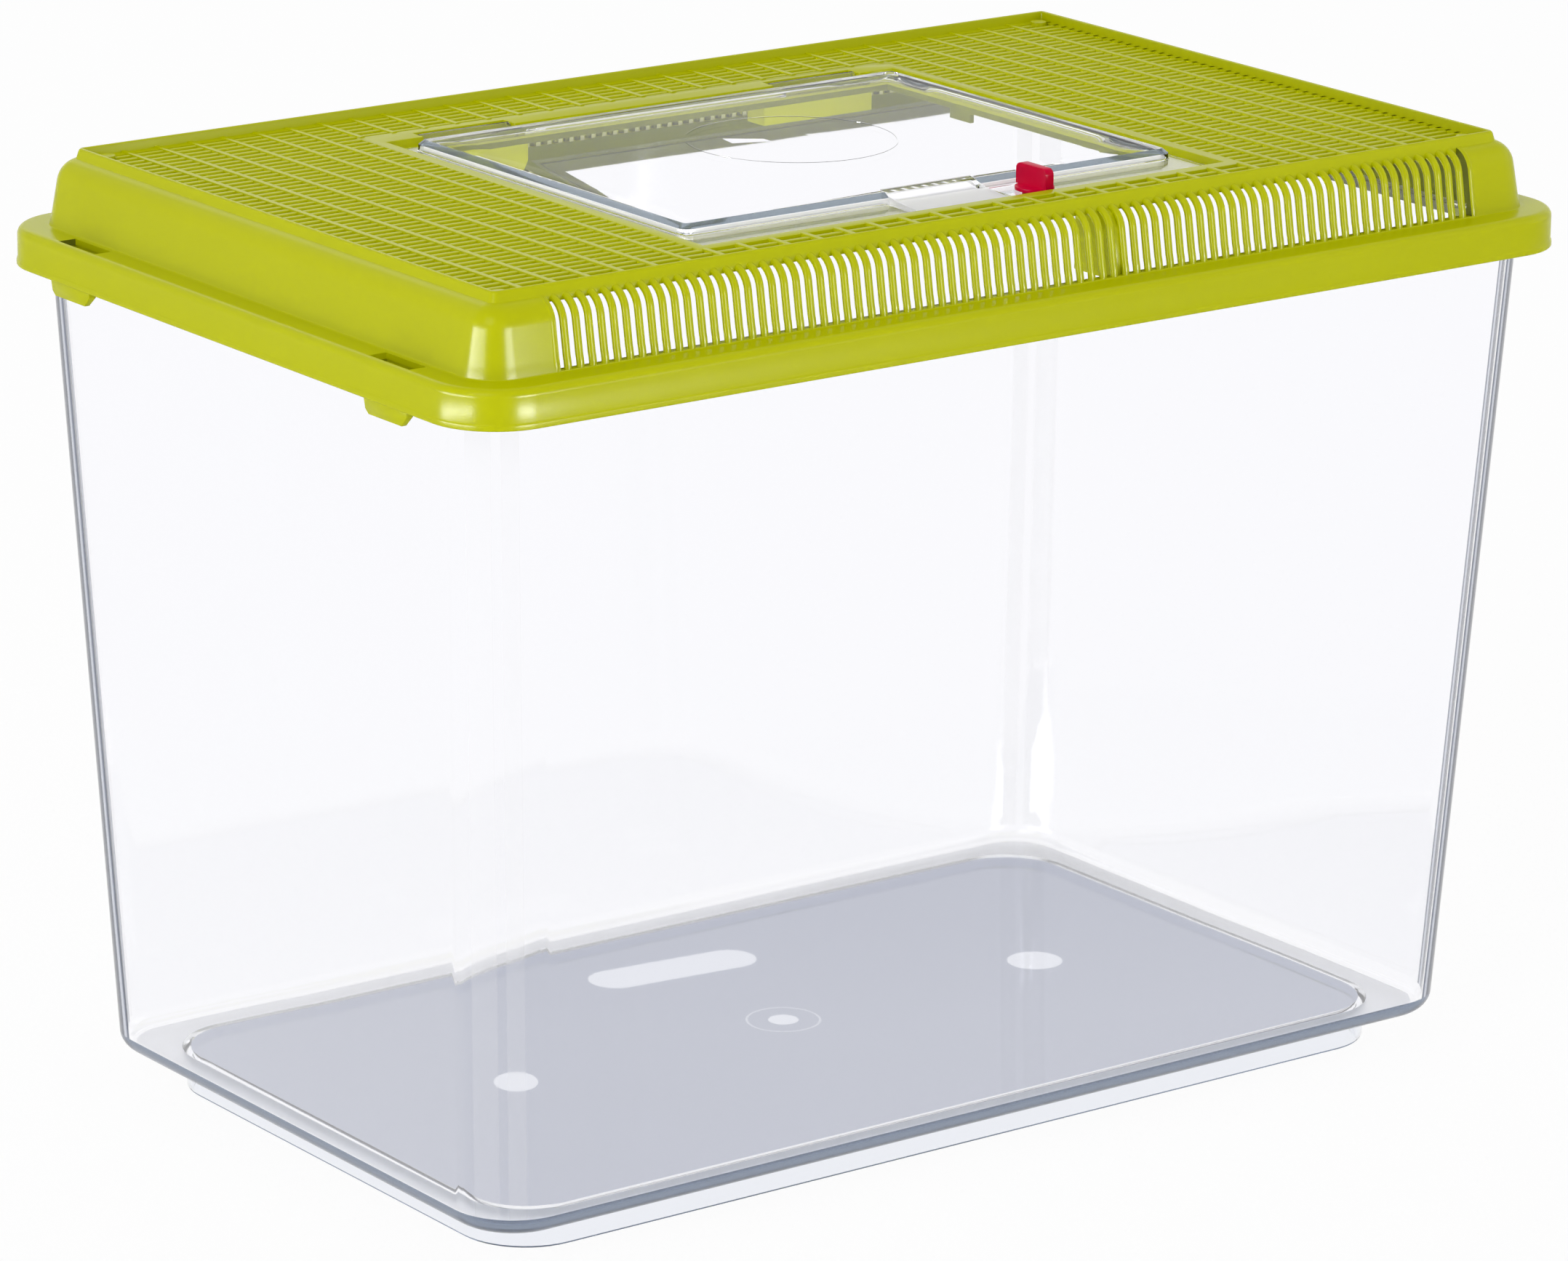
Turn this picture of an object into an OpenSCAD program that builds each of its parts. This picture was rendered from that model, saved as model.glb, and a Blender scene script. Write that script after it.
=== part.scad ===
/* [Tank] */
// Outer length of the tank wall just under its top flange
tank_l = 396.5; // [330:0.5:460]
// Outer width of the tank wall just under its top flange
tank_w = 247.9; // [210:0.1:300]
// Height of the tank from the table to the top of its flange
tank_h = 269.6; // [180:0.1:340]
// Draft of the two end walls in degrees
draft_end = 2.8; // [1:0.05:4]
// Draft of the front and back walls in degrees
draft_side = 2.95; // [1:0.05:4]
// Radius of the four upright corners of the tank
tank_corner_r = 20.4; // [12:0.1:30]
// Thickness of the tank wall
tank_t = 2.5; // [1.5:0.1:4]
// Thickness of the top flange
flange_t = 2.6; // [1.5:0.1:5]
// Radius where the wall turns into the floor, outside
heel_r = 6; // [4.5:0.1:9]
// Height of the ring foot under the floor
foot_h = 11; // [5:0.5:20]
// Thickness of the ring foot's wall
foot_wall = 2.5; // [1.5:0.1:5]
// Distance of the foot's outer side from the wall line above it
foot_in = 14.2; // [9:0.1:30]
// Radius of the foot's upright corners
foot_r = 22; // [12:0.5:34]

/* [Lid] */
// How far the lid rim stands out beyond the tank's end walls
over_end = 8.25; // [7.5:0.05:12]
// How far the lid rim stands out beyond the front and back walls
over_side = 7.45; // [7:0.05:12]
// Radius of the lid rim's upright corners
lid_corner_r = 21.4; // [21.4:0.1:30]
// Thickness of the lid's skirt
skirt_t = 2; // [1.2:0.1:2.6]
// Thickness of the rim's shelf and the dome wall
lid_t = 1.9; // [1.3:0.1:2.4]
// How far the skirt hangs below the lid's seat on the tank
skirt_drop = 7.9; // [5:0.1:14]
// Height of the rim's flat shelf above the lid's seat on the tank
shelf_h = 4.1; // [3.4:0.1:6]
// Height of the dome's flat top above the lid's seat on the tank
dome_h = 24.8; // [18:0.1:40]
// Radius of the dome's shoulder
shoulder_r = 8; // [5:0.1:9]
// Draft of the dome's wall in degrees
dome_draft = 10; // [4:0.5:12]
// Height of the raised lip above the dome's top
lip_h = 2.8; // [1.5:0.1:5]

/* [Vents] */
// Number of upright vent slots in the front and in the back
vent_n = 80; // [20:1:84]
// Spacing of the vent slots
vent_pitch = 4.29; // [3.9:0.01:4.4]
// Width of a vent slot
vent_w = 1.85; // [1.2:0.05:2.4]
// Height of the foot of the vent slots above the lid's seat on the tank
vent_foot = 4.5; // [4:0.1:8]

/* [Grille] */
// Spacing of the ribs that run from front to back
rib_pitch = 11.8; // [9:0.1:16]
// Width of a rib
rib_w = 2; // [1.2:0.1:3]
// Height of the ribs above the slats
rib_h = 0.6; // [0.4:0.1:1.2]
// Spacing of the slats that run from end to end
slat_pitch = 4.23; // [3.6:0.01:6]
// Width of the gap between two slats
slat_gap = 2.3; // [1.5:0.1:3]
// Thickness of the slats
slat_t = 2.3; // [1.5:0.1:3]

/* [Hatch] */
// Length of the recess that the hatch lies in
recess_l = 195.6; // [160:0.1:230]
// Width of the recess from front to back
recess_w = 165.3; // [130:0.1:180]
// Distance of the recess's middle behind the lid's middle
recess_y = -6.15; // [-10:0.05:0]
// Depth of the recess
recess_d = 3.2; // [2.6:0.1:5]
// Width of the ledge at the two ends and the back
ledge_w = 9.8; // [6:0.1:16]
// Width of the ledge at the front
ledge_front = 21.8; // [18:0.1:30]
// Thickness of the ledge
ledge_t = 2; // [1.2:0.1:3]
// Gap between the hatch's edge and the ends of the recess
hatch_gap = 2.3; // [0.6:0.1:4]
// Gap between the hatch's edge and the front of the recess
hatch_gap_front = 2.7; // [0.6:0.1:5]
// Gap between the hatch's edge and the back of the recess
hatch_gap_back = 4.6; // [2:0.1:7]
// Gap between the hatch's flange and the ledge
seat_gap = 0.3; // [0.2:0.05:0.6]
// Thickness of the hatch's flange
hatch_flange_t = 1.2; // [0.8:0.1:1.6]
// Wall thickness of the hatch's raised middle
hatch_t = 1.6; // [1:0.1:2]
// Height of the raised middle's outer edge above the flange
bead_h = 2; // [1.2:0.1:4]
// Further height of the raised middle inside its bevelled edge
bevel_h = 1.3; // [0.6:0.1:2]
// Crown of the hatch's top in its middle
crown = 1.7; // [0.5:0.1:3]
// Width of the hatch's flange at the two ends
hatch_flange_w = 3.3; // [2:0.1:6]
// Width of the hatch's flange at the front
hatch_flange_front = 14.6; // [14:0.1:18]
// Width of the hatch's flange at the back
hatch_flange_back = 2; // [1:0.1:5]
// Width of the finger tab
tab_w = 34; // [20:1:50]

/* [Hinge] */
// Distance of each knuckle's middle from the hatch's middle
knuckle_x = 67; // [50:0.5:70]
// Length of each knuckle
knuckle_l = 33.4; // [16:0.2:36]
// Radius of a knuckle
knuckle_r = 2.2; // [1.9:0.05:2.4]
// Radius of the hinge pins
pin_r = 1.25; // [1:0.05:1.4]
// Radial clearance of the pins in their sockets
pin_clear = 0.05; // [0.02:0.01:0.1]
// Distance of the hinge axis behind the recess's back wall
hinge_back = 3.3; // [2.6:0.1:5]
// End play between a knuckle and its pocket
end_play = 0.3; // [0.2:0.05:1]

/* [Latch] */
// Distance of the latch's axis to the right of the middle
latch_x = 31; // [-60:0.5:60]
// Radius of the latch's round base
latch_base_r = 6; // [5:0.1:6.8]
// Length of the latch's thumb fin
fin_l = 14.4; // [10:0.1:15]
// Thickness of the thumb fin
fin_t = 3; // [2:0.1:4]
// Height of the thumb fin above the base
fin_h = 6.4; // [4:0.1:10]
// Radius of the latch's shaft
shaft_r = 2.5; // [1.8:0.05:3]
// Radial clearance of the shaft in the hatch's flange
shaft_clear = 0.05; // [0.02:0.01:0.1]
// Length of the cam under the flange, from the shaft's axis
cam_l = 6.8; // [4.5:0.1:7]

/* [Clips] */
// Length of each snap clip along the end of the lid
clip_l = 22; // [12:0.5:36]
// Distance of the clips from the middle of the end
clip_y = 85.5; // [50:0.5:88]
// How far the clips hang below the skirt
clip_drop = 4.4; // [2:0.1:6]
// Gap between the clips' hooks and the tank's flange
hook_gap = 0.5; // [0.3:0.1:1]
// Gap between the tank's flange and the lid's skirt
rim_gap = 3; // [2:0.1:4]
// Gap between the lid's seat and the tank's flange
rest_gap = 0.3; // [0.2:0.05:0.6]

/* [Hidden] */
eps = 0.01;
$fn = 64;

// levels of the lid, all measured from the top of the tank
zc = tank_h + rest_gap;
z_skirt = zc - skirt_drop;
z_crest = zc + shelf_h;
z_dome = zc + dome_h;
z_lip = z_dome + lip_h;
lid_l = tank_l + 2 * over_end;
lid_w = tank_w + 2 * over_side;

// the dome's wall: insets from the rim's outer face
in_wall = 11.5;
in_seat = 8.8;
in_lip = 18.5;
in_lip_in = 21;
z_knee = zc + 8.1;
sh_c = 20.6;
sh_z = z_dome - shoulder_r;
wall_in = sh_c - shoulder_r * cos(dome_draft);
wall_z = sh_z + shoulder_r * sin(dome_draft);
knee_in = wall_in - (wall_z - z_knee) * tan(dome_draft);
foot_top = knee_in - 0.8;

function arc(c, r, a, b, n) = [for (i = [0 : n])
    c + r * [cos(a + (b - a) * i / n), sin(a + (b - a) * i / n)]];

// closed outline of the lid's skirt, shelf, dome and lip as [inset, height]
lip_a = 180 - acos((sh_c - in_lip) / shoulder_r);
in_arc_a = acos((sh_c - in_lip) / (shoulder_r - lid_t));
lid_outline = concat(
    [[0, z_skirt], [0, z_skirt + 1.3], [0.35, z_skirt + 2]],
    arc([3, z_crest - 2.65], 2.65, 180, 90, 5),
    [[foot_top - 0.4, z_crest - 0.1], [foot_top, z_crest + 0.2]],
    [[foot_top + 0.4, z_crest + 1.9], [knee_in, z_knee]],
    arc([sh_c, sh_z], shoulder_r, 180 - dome_draft, lip_a, 5),
    [[in_lip + 0.8, z_lip - 0.8], [in_lip + 1.5, z_lip]],
    [[in_lip_in - 0.4, z_lip], [in_lip_in, z_lip - 0.5]],
    [[in_lip_in, z_dome - slat_t - 0.1]],
    arc([sh_c, sh_z], shoulder_r - lid_t, 90, 180 - dome_draft, 4),
    [[knee_in + lid_t, z_knee]],
    [[knee_in + lid_t + 0.35, zc], [in_seat, zc], [in_seat, z_crest - lid_t]],
    [[0.35 + skirt_t, z_crest - lid_t], [0.35 + skirt_t, z_skirt]]
);
rim = [for (p = lid_outline) [lid_corner_r - p[0], p[1]]];

// hatch recess and hatch
ledge_z = z_dome - recess_d;
rx = recess_l / 2;
ry0 = recess_y - recess_w / 2;
ry1 = recess_y + recess_w / 2;
hz = ledge_z + seat_gap;
hx = rx - hatch_gap;
hy0 = ry0 + hatch_gap_front;
hy1 = ry1 - hatch_gap_back;
ax_y = ry1 + hinge_back;
ax_z = z_dome - knuckle_r;
latch_y = hy0 + 5.6;
latch_z = hz + hatch_flange_t;

module rect2(x0, x1, y0, y1) {
    translate([x0, y0]) square([x1 - x0, y1 - y0]);
}

module box(x0, x1, y0, y1, z0, z1) {
    translate([x0, y0, z0]) cube([x1 - x0, y1 - y0, z1 - z0]);
}

// rounded rectangle made of exact arcs
module round_rect(hx, hy, r) {
    union() {
        rect2(-hx + r, hx - r, -hy, hy);
        rect2(-hx, hx, -hy + r, hy - r);
        for (sx = [-1, 1], sy = [-1, 1])
            translate([sx * (hx - r), sy * (hy - r)]) circle(r);
    }
}

// points of a rounded rectangle at height z, counter-clockwise
cn = 8;
function ring(hx, hy, r, z) = [for (q = [0 : 3], i = [0 : cn])
    let (a = q * 90 + i * 90 / cn,
         sx = (q == 0 || q == 3) ? 1 : -1,
         sy = q < 2 ? 1 : -1)
    [sx * (hx - r) + r * cos(a), sy * (hy - r) + r * sin(a), z]];

// closed solid through a list of rings, from the bottom up
module loft(rings) {
    n = len(rings[0]);
    m = len(rings);
    pts = [for (r = rings) each r];
    sides = [for (k = [0 : m - 2], i = [0 : n - 1])
        let (j = (i + 1) % n, a = k * n, b = (k + 1) * n)
        each [[a + i, b + i, b + j], [a + i, b + j, a + j]]];
    bottom = [for (i = [0 : n - 1]) i];
    top = [for (i = [n - 1 : -1 : 0]) (m - 1) * n + i];
    polyhedron(points = pts, faces = concat([bottom], sides, [top]), convexity = 10);
}

// half sizes of the tank wall's outside at height z
zf = tank_h - flange_t;
function wx(z) = tank_l / 2 - (zf - z) * tan(draft_end);
function wy(z) = tank_w / 2 - (zf - z) * tan(draft_side);
function wall_ring(z, d) = ring(wx(z) - d, wy(z) - d, tank_corner_r - min(d, 0.9 * tank_corner_r), z);

module tank() {
    fx = wx(foot_h) - foot_in;
    fy = wy(foot_h) - foot_in - 0.6;
    flx = lid_l / 2 - 0.35 - skirt_t - rim_gap;
    fly = lid_w / 2 - 0.35 - skirt_t - rim_gap;
    hi = heel_r - tank_t;
    color([0.88, 0.90, 0.94, 0.45]) difference() {
        loft(concat(
            [ring(fx - 0.8, fy - 0.8, foot_r - 0.8, 0), ring(fx - 0.25, fy - 0.25, foot_r - 0.25, 0.25)],
            [ring(fx, fy, foot_r, 0.8), ring(fx + 0.3, fy + 0.3, foot_r, foot_h)],
            [wall_ring(foot_h, heel_r)],
            [for (i = [1 : 6]) let (a = 15 * i)
                wall_ring(foot_h + heel_r * (1 - cos(a)), heel_r * (1 - sin(a)))],
            [wall_ring(zf, 0), ring(flx, fly, tank_corner_r, zf)],
            [ring(flx, fly, tank_corner_r, tank_h)]
        ));
        loft(concat(
            [wall_ring(foot_h + tank_t, heel_r)],
            [for (i = [1 : 4]) let (a = 22.5 * i)
                wall_ring(foot_h + tank_t + hi * (1 - cos(a)), tank_t + hi * (1 - sin(a)))],
            [wall_ring(tank_h + 1, tank_t)]
        ));
        loft([
            ring(fx - foot_wall, fy - foot_wall, foot_r - foot_wall, -1),
            ring(fx + 0.3 - foot_wall, fy + 0.3 - foot_wall, foot_r - foot_wall, foot_h)
        ]);
    }
}

module lid_sweep() {
    ox = lid_l / 2 - lid_corner_r;
    oy = lid_w / 2 - lid_corner_r;
    for (k = [0, 1]) rotate([0, 0, 180 * k]) {
        translate([ox, oy, 0]) rotate([90, 0, 0]) linear_extrude(2 * oy) polygon(rim);
        translate([-ox, oy, 0]) rotate([0, 0, 90]) rotate([90, 0, 0])
            linear_extrude(2 * ox) polygon(rim);
        translate([ox, oy, 0]) rotate_extrude(angle = 90) polygon(rim);
        translate([-ox, oy, 0]) rotate([0, 0, 90]) rotate_extrude(angle = 90) polygon(rim);
    }
}

module vents() {
    span = (vent_n - 1) * vent_pitch / 2;
    y0 = lid_w / 2 - in_lip;
    y1 = lid_w / 2 - foot_top + 1;
    for (i = [0 : vent_n - 1], s = [-1, 1])
        translate([-span + i * vent_pitch - vent_w / 2, s < 0 ? -y1 : y0, zc + vent_foot])
            cube([vent_w, y1 - y0, dome_h]);
}

// openings of the grille as a flat pattern
gx = lid_l / 2 - in_lip_in;
gy = lid_w / 2 - in_lip_in;
frame_x = rx + 4.4;
frame_y0 = ry0 - 4.6;
frame_y1 = ax_y + knuckle_r + 4.6;

module grille_gaps() {
    ny = floor((gy - 1.2 - slat_gap / 2) / slat_pitch - 0.5);
    for (j = [-ny - 1 : ny]) {
        y = (j + 0.5) * slat_pitch;
        beside = y > frame_y0 - slat_gap && y < frame_y1 + slat_gap;
        if (beside) for (s = [-1, 1])
            rect2(s < 0 ? -gx + 2 : frame_x, s < 0 ? -frame_x : gx - 2, y - slat_gap / 2, y + slat_gap / 2);
        else
            rect2(-gx + 2, gx - 2, y - slat_gap / 2, y + slat_gap / 2);
    }
}

module ribs() {
    nr = floor((gx - 4) / rib_pitch - 0.5);
    difference() {
        for (i = [-nr - 1 : nr])
            translate([(i + 0.5) * rib_pitch - rib_w / 2 + 0.1, -gy - 0.4])
                square([rib_w - 0.2, 2 * gy + 0.8]);
        rect2(-frame_x, frame_x, frame_y0, frame_y1);
    }
}

module lid_top() {
    translate([0, 0, z_dome - slat_t - 0.1]) linear_extrude(slat_t) difference() {
        round_rect(gx + 0.3, gy + 0.3, max(lid_corner_r - in_lip_in, 0.2) + 0.3);
        grille_gaps();
        rect2(-rx - 1, rx + 1, ry0 - 1, ry1 + 1);
    }
    translate([0, 0, z_dome - 0.1 - eps]) linear_extrude(rib_h + eps) ribs();
}

// pocket of one hinge knuckle, and the block that carries it
pock = knuckle_l / 2 + end_play;
ear = 4.5;
pin_out = 2.4;
pock_z = ax_z - knuckle_r - 0.5;
pock_y = ax_y + knuckle_r + 0.5;

module along_x(x0, x1, r) {
    translate([x0, ax_y, ax_z]) rotate([0, 90, 0]) cylinder(h = x1 - x0, r = r);
}

// stop rib behind the front vents, in front of the latch
keep_w = 3.8;
keep_in = 31.4;
keep_z = zc + 2.6;
notch = max(cam_l, latch_base_r) + 2.2;

module stop_rib() {
    o = -lid_w / 2;
    translate([latch_x, 0, 0]) rotate([90, 0, 90]) linear_extrude(keep_w) polygon([
        [o + knee_in + 1, keep_z], [o + keep_in, keep_z], [o + keep_in, z_dome - 1.2],
        [o + in_lip + 0.8, z_dome - 1.2], [o + in_lip - 1.8, z_dome - slat_t],
        [o + wall_in + 1, wall_z], [o + knee_in + 1, z_knee]
    ]);
}

module hatch_frame() {
    zb = ledge_z - ledge_t;
    box(-frame_x, frame_x, frame_y0, frame_y1, z_dome - slat_t - 0.1, z_dome);
    box(-rx - 2, rx + 2, ry0 - 2, ry1 + 2, zb, z_dome - 0.5);
    for (s = [-1, 1])
        box(s * knuckle_x - pock - ear, s * knuckle_x + pock + ear, ry1 - 1, pock_y + 2, pock_z - 1.5, z_dome - 0.5);
    stop_rib();
}

module hatch_cuts() {
    box(-rx, rx, ry0, ry1, ledge_z, z_dome + 5);
    box(-rx + ledge_w, rx - ledge_w, ry0 + ledge_front, ry1 - ledge_w, ledge_z - 20, z_dome);
    box(latch_x - notch, latch_x + notch, ry0, ry0 + ledge_front + 1, ledge_z - 20, z_dome);
    for (s = [-1, 1]) {
        box(s * knuckle_x - pock, s * knuckle_x + pock, ry1 - 0.5, pock_y, pock_z, z_dome + 5);
        along_x(s * knuckle_x - pock - pin_out, s * knuckle_x + pock + pin_out, pin_r + pin_clear);
    }
}

// snap clip at the lid's end, with its outside on the skirt's face
clip_x = lid_l / 2 - 0.35;
hook_in = skirt_t + rim_gap - hook_gap;

module clip() {
    z0 = z_skirt - clip_drop;
    h = clip_l / 2;
    translate([clip_x, 0, 0]) rotate([90, 0, -90]) linear_extrude(skirt_t) polygon([
        [-h, z_skirt + 0.5], [-h, z0 + 3], [-h + 2.6, z0], [h - 2.6, z0], [h - 0.9, z0 + 1.4], [h, z_skirt + 0.5]
    ]);
    translate([clip_x, h - 3, 0]) rotate([90, 0, 0]) linear_extrude(2 * h - 6) polygon([
        [-0.5, z0 + 1], [-skirt_t - 0.6, z0 + 0.3], [-hook_in, z0 + 2.2],
        [-hook_in, z0 + 4], [-skirt_t + 0.1, z_skirt + 2.6], [-0.5, z_skirt + 1]
    ]);
}

module clip_slot() {
    box(clip_x - skirt_t - 6.2, clip_x - skirt_t - 0.4, -clip_l / 2 + 0.5, clip_l / 2 - 0.5, zc - 1, z_crest + 1);
}

module at_clips() {
    for (s = [-1, 1], k = [0, 1]) rotate([0, 0, 180 * k]) translate([0, s * clip_y, 0]) children();
}

module lid() {
    color([0.74, 0.77, 0.0]) difference() {
        union() {
            difference() {
                lid_sweep();
                vents();
            }
            lid_top();
            hatch_frame();
            at_clips() clip();
        }
        hatch_cuts();
        at_clips() clip_slot();
    }
}

// raised middle of the hatch
bx = hx - hatch_flange_w;
by0 = hy0 + hatch_flange_front;
by1 = hy1 - hatch_flange_back;
bcy = (by0 + by1) / 2;
bhy = (by1 - by0) / 2;
z_bead = latch_z + bead_h;
z_plate = z_bead + bevel_h;

module pillow(d, z0, dz) {
    translate([0, bcy, 0]) loft(concat(
        [ring(bx - d, bhy - d, 5 - d, z0), ring(bx - d, bhy - d, 5 - d, z_bead - dz / 2)],
        [for (k = [0 : 6]) let (t = [1, 0.8, 0.6, 0.45, 0.3, 0.15, 0.02][k])
            ring((bx - 2.2 - d) * t, (bhy - 2 - d) * t, (4.6 - d) * t, z_plate - dz + crown * (1 - t * t))]
    ));
}

// finger tab: side view as [y, z]
tab_y = hy0 + 0.8;
tab_top = by0 - 3.5;
module tab_side(d) {
    polygon([
        [tab_y + d, hz - (d > 0 ? 1 : 0)], [tab_y + d, latch_z + 0.5 - d], [tab_top + d / 2, z_bead - 0.5 - d],
        [by0 + 6, z_bead + 1 - d], [by0 + 6, hz - (d > 0 ? 1 : 0)]
    ]);
}

module tab_prism(w, d) {
    translate([-w / 2, 0, 0]) rotate([90, 0, 90]) linear_extrude(w) tab_side(d);
}

module hatch_shell() {
    difference() {
        union() {
            box(-hx, hx, hy0, hy1, hz, latch_z);
            pillow(0, hz, 0);
        }
        pillow(hatch_t, hz - 1, hatch_t);
        translate([-tab_w / 2 + eps, 0, 0]) rotate([90, 0, 90]) linear_extrude(tab_w - 2 * eps) polygon([
            [tab_y - 1, latch_z + 0.5], [tab_y, latch_z + 0.5], [tab_top, z_bead - 0.5], [by0 + 6, z_bead + 1],
            [by0 + 6, z_plate + 5], [tab_y - 1, z_plate + 5]
        ]);
    }
}

module hatch() {
    color([0.93, 0.95, 0.98, 0.5]) difference() {
        union() {
            hatch_shell();
            tab_prism(tab_w, 0);
            for (s = [-1, 1]) {
                box(s * knuckle_x - knuckle_l / 2, s * knuckle_x + knuckle_l / 2, hy1 - 1, ax_y, hz, latch_z);
                along_x(s * knuckle_x - knuckle_l / 2, s * knuckle_x + knuckle_l / 2, knuckle_r);
                along_x(s * knuckle_x - pock - pin_out + 0.4, s * knuckle_x + pock + pin_out - 0.4, pin_r);
            }
        }
        tab_prism(tab_w - 2 * hatch_t, hatch_t);
        translate([latch_x, latch_y, hz - 1]) cylinder(h = hatch_flange_t + 2, r = shaft_r + shaft_clear);
    }
}

module latch() {
    run = 0.2;
    cam_t = 2;
    fr = 2;
    z0 = latch_z + run;
    color([0.78, 0.04, 0.2]) translate([latch_x, latch_y, 0]) {
        translate([0, 0, hz - run - cam_t]) linear_extrude(cam_t) {
            circle(shaft_r + 1.2);
            rect2(-shaft_r, shaft_r, -cam_l, 0);
        }
        translate([0, 0, hz - run - eps]) cylinder(h = hatch_flange_t + 2 * run + 2 * eps, r = shaft_r);
        translate([0, 0, z0]) cylinder(h = 1, r = latch_base_r);
        translate([-fin_t / 2, 0, z0 + 0.9]) rotate([90, 0, 90]) linear_extrude(fin_t) {
            rect2(-fin_l / 2, fin_l / 2, 0, fin_h - fr + 0.1);
            rect2(-fin_l / 2 + fr, fin_l / 2 - fr, 0, fin_h + 0.1);
            for (s = [-1, 1]) translate([s * (fin_l / 2 - fr), fin_h - fr + 0.1]) circle(fr);
        }
    }
}

tank();
lid();
hatch();
latch();
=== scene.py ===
"""Pet keeper: clear tapered tank, ventilated lid, hinged hatch and thumb-turn latch."""

import math

import bmesh
import bpy
from bpy.props import FloatProperty, FloatVectorProperty, IntProperty, PointerProperty
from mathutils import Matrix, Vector


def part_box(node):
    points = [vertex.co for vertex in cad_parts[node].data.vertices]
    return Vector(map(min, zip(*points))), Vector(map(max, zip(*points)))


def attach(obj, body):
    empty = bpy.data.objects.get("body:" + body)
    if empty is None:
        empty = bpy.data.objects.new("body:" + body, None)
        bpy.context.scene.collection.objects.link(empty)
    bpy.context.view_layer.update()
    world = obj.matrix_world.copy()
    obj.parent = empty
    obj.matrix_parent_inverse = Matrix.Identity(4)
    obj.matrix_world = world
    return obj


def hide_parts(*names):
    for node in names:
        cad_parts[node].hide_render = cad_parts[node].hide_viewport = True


bl_info = {
    "name": "Pet Keeper",
    "version": (1, 0, 0),
    "blender": (4, 5, 0),
    "location": "View3D > Sidebar > Keeper",
    "description": "Builds a clear pet keeper with a slatted lid, a hatch and a latch",
    "category": "Add Mesh",
}

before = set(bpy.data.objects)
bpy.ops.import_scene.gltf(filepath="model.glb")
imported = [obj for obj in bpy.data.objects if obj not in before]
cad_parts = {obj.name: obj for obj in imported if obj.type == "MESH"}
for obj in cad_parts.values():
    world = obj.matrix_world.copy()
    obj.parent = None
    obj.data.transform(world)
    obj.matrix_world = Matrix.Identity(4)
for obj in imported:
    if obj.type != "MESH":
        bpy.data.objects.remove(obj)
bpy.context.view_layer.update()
MM = 0.001

# ---------------- sizes, in millimetres and radians
TANK_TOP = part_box("tank")[1].z / MM
TANK_WALL = 2.5
TANK_R = 20.4
TANK_DRAFT_X = math.radians(2.8)
TANK_DRAFT_Y = math.radians(2.95)
WALL_X = 198.25
WALL_Y = 123.95
FLANGE_T = 2.6
FLANGE_IN = 5.35
HEEL = 6.0
FOOT_H = 11.0
FOOT_WALL = 2.5
FOOT_R = 22
FOOT_IN_X = 14.2
FOOT_IN_Y = 14.8

LID_HALF_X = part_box("lid")[1].x / MM
LID_HALF_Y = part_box("lid")[1].y / MM
Z_SEAT = TANK_TOP + 0.3
LID_WALL = 1.9
Z_SKIRT = Z_SEAT - 7.9
Z_SHELF = Z_SEAT + 4.1
Z_DOME = Z_SEAT + 24.8
Z_LIP = Z_DOME + 2.8
LID_CORNER = 21.4
SKIRT = 2.0
SHOULDER = 8.0
SHOULDER_D = 20.6
SHOULDER_Z = Z_DOME - SHOULDER
DRAFT = math.radians(10)
LIP_OUT = 18.5
LIP_IN = 21.0
Z_SILL = Z_SEAT + 4.5
CLIP_Y = 85.5
CLIP_HALF = 11.0
CLIP_DROP = 4.4
SLOT_Y = 84.6
SLOT_HALF = 10.2
GRILLE_T = 2.3
RIB_T = 3.0

RECESS_X = 97.8
RECESS_Y0 = -88.8
RECESS_Y1 = 76.5
LEDGE_Z = Z_DOME - 3.2
LEDGE_T = 2.0
LEDGE_W = 9.8
STOP_T = 3.8
HINGE_Y = RECESS_Y1 + 3.3
HINGE_Z = Z_DOME - 2.2
KNUCKLE_X = 67.0
KNUCKLE_L = 33.4
POCKET = KNUCKLE_L / 2 + 0.3
POCKET_Y = HINGE_Y + 2.7
POCKET_Z = HINGE_Z - 2.7
FRAME_X = RECESS_X + 4.4
FRAME_Y0 = RECESS_Y0 - 4.6
FRAME_Y1 = HINGE_Y + 6.8
LATCH_X = 31.0
LATCH_Y = -80.5
HATCH_X = 95.5
HATCH_Y0 = -86.1
HATCH_Y1 = 71.9
HATCH_Z = LEDGE_Z + 0.3
FLANGE_Z = HATCH_Z + 1.2
BEAD_X = 92.2
BEAD_Y0 = -71.5
BEAD_Y1 = 69.9
BEAD_Z = FLANGE_Z + 2.0
PLATE_Z = BEAD_Z + 1.3
HATCH_WALL = 1.6
CROWN = 1.4
TAB_HALF = 17.0
PIN_R = 1.25
SHAFT_R = 2.5


# ---------------- settings a user would change
def colour(name, description, default):
    return FloatVectorProperty(name=name, description=description, subtype="COLOR",
                               size=3, min=0, max=1, default=default)


def length(name, description, default):
    return FloatProperty(name=name, description=description, default=default, unit="LENGTH")


def power(name, description, default):
    return FloatProperty(name=name, description=description, default=default, unit="POWER")


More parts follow.
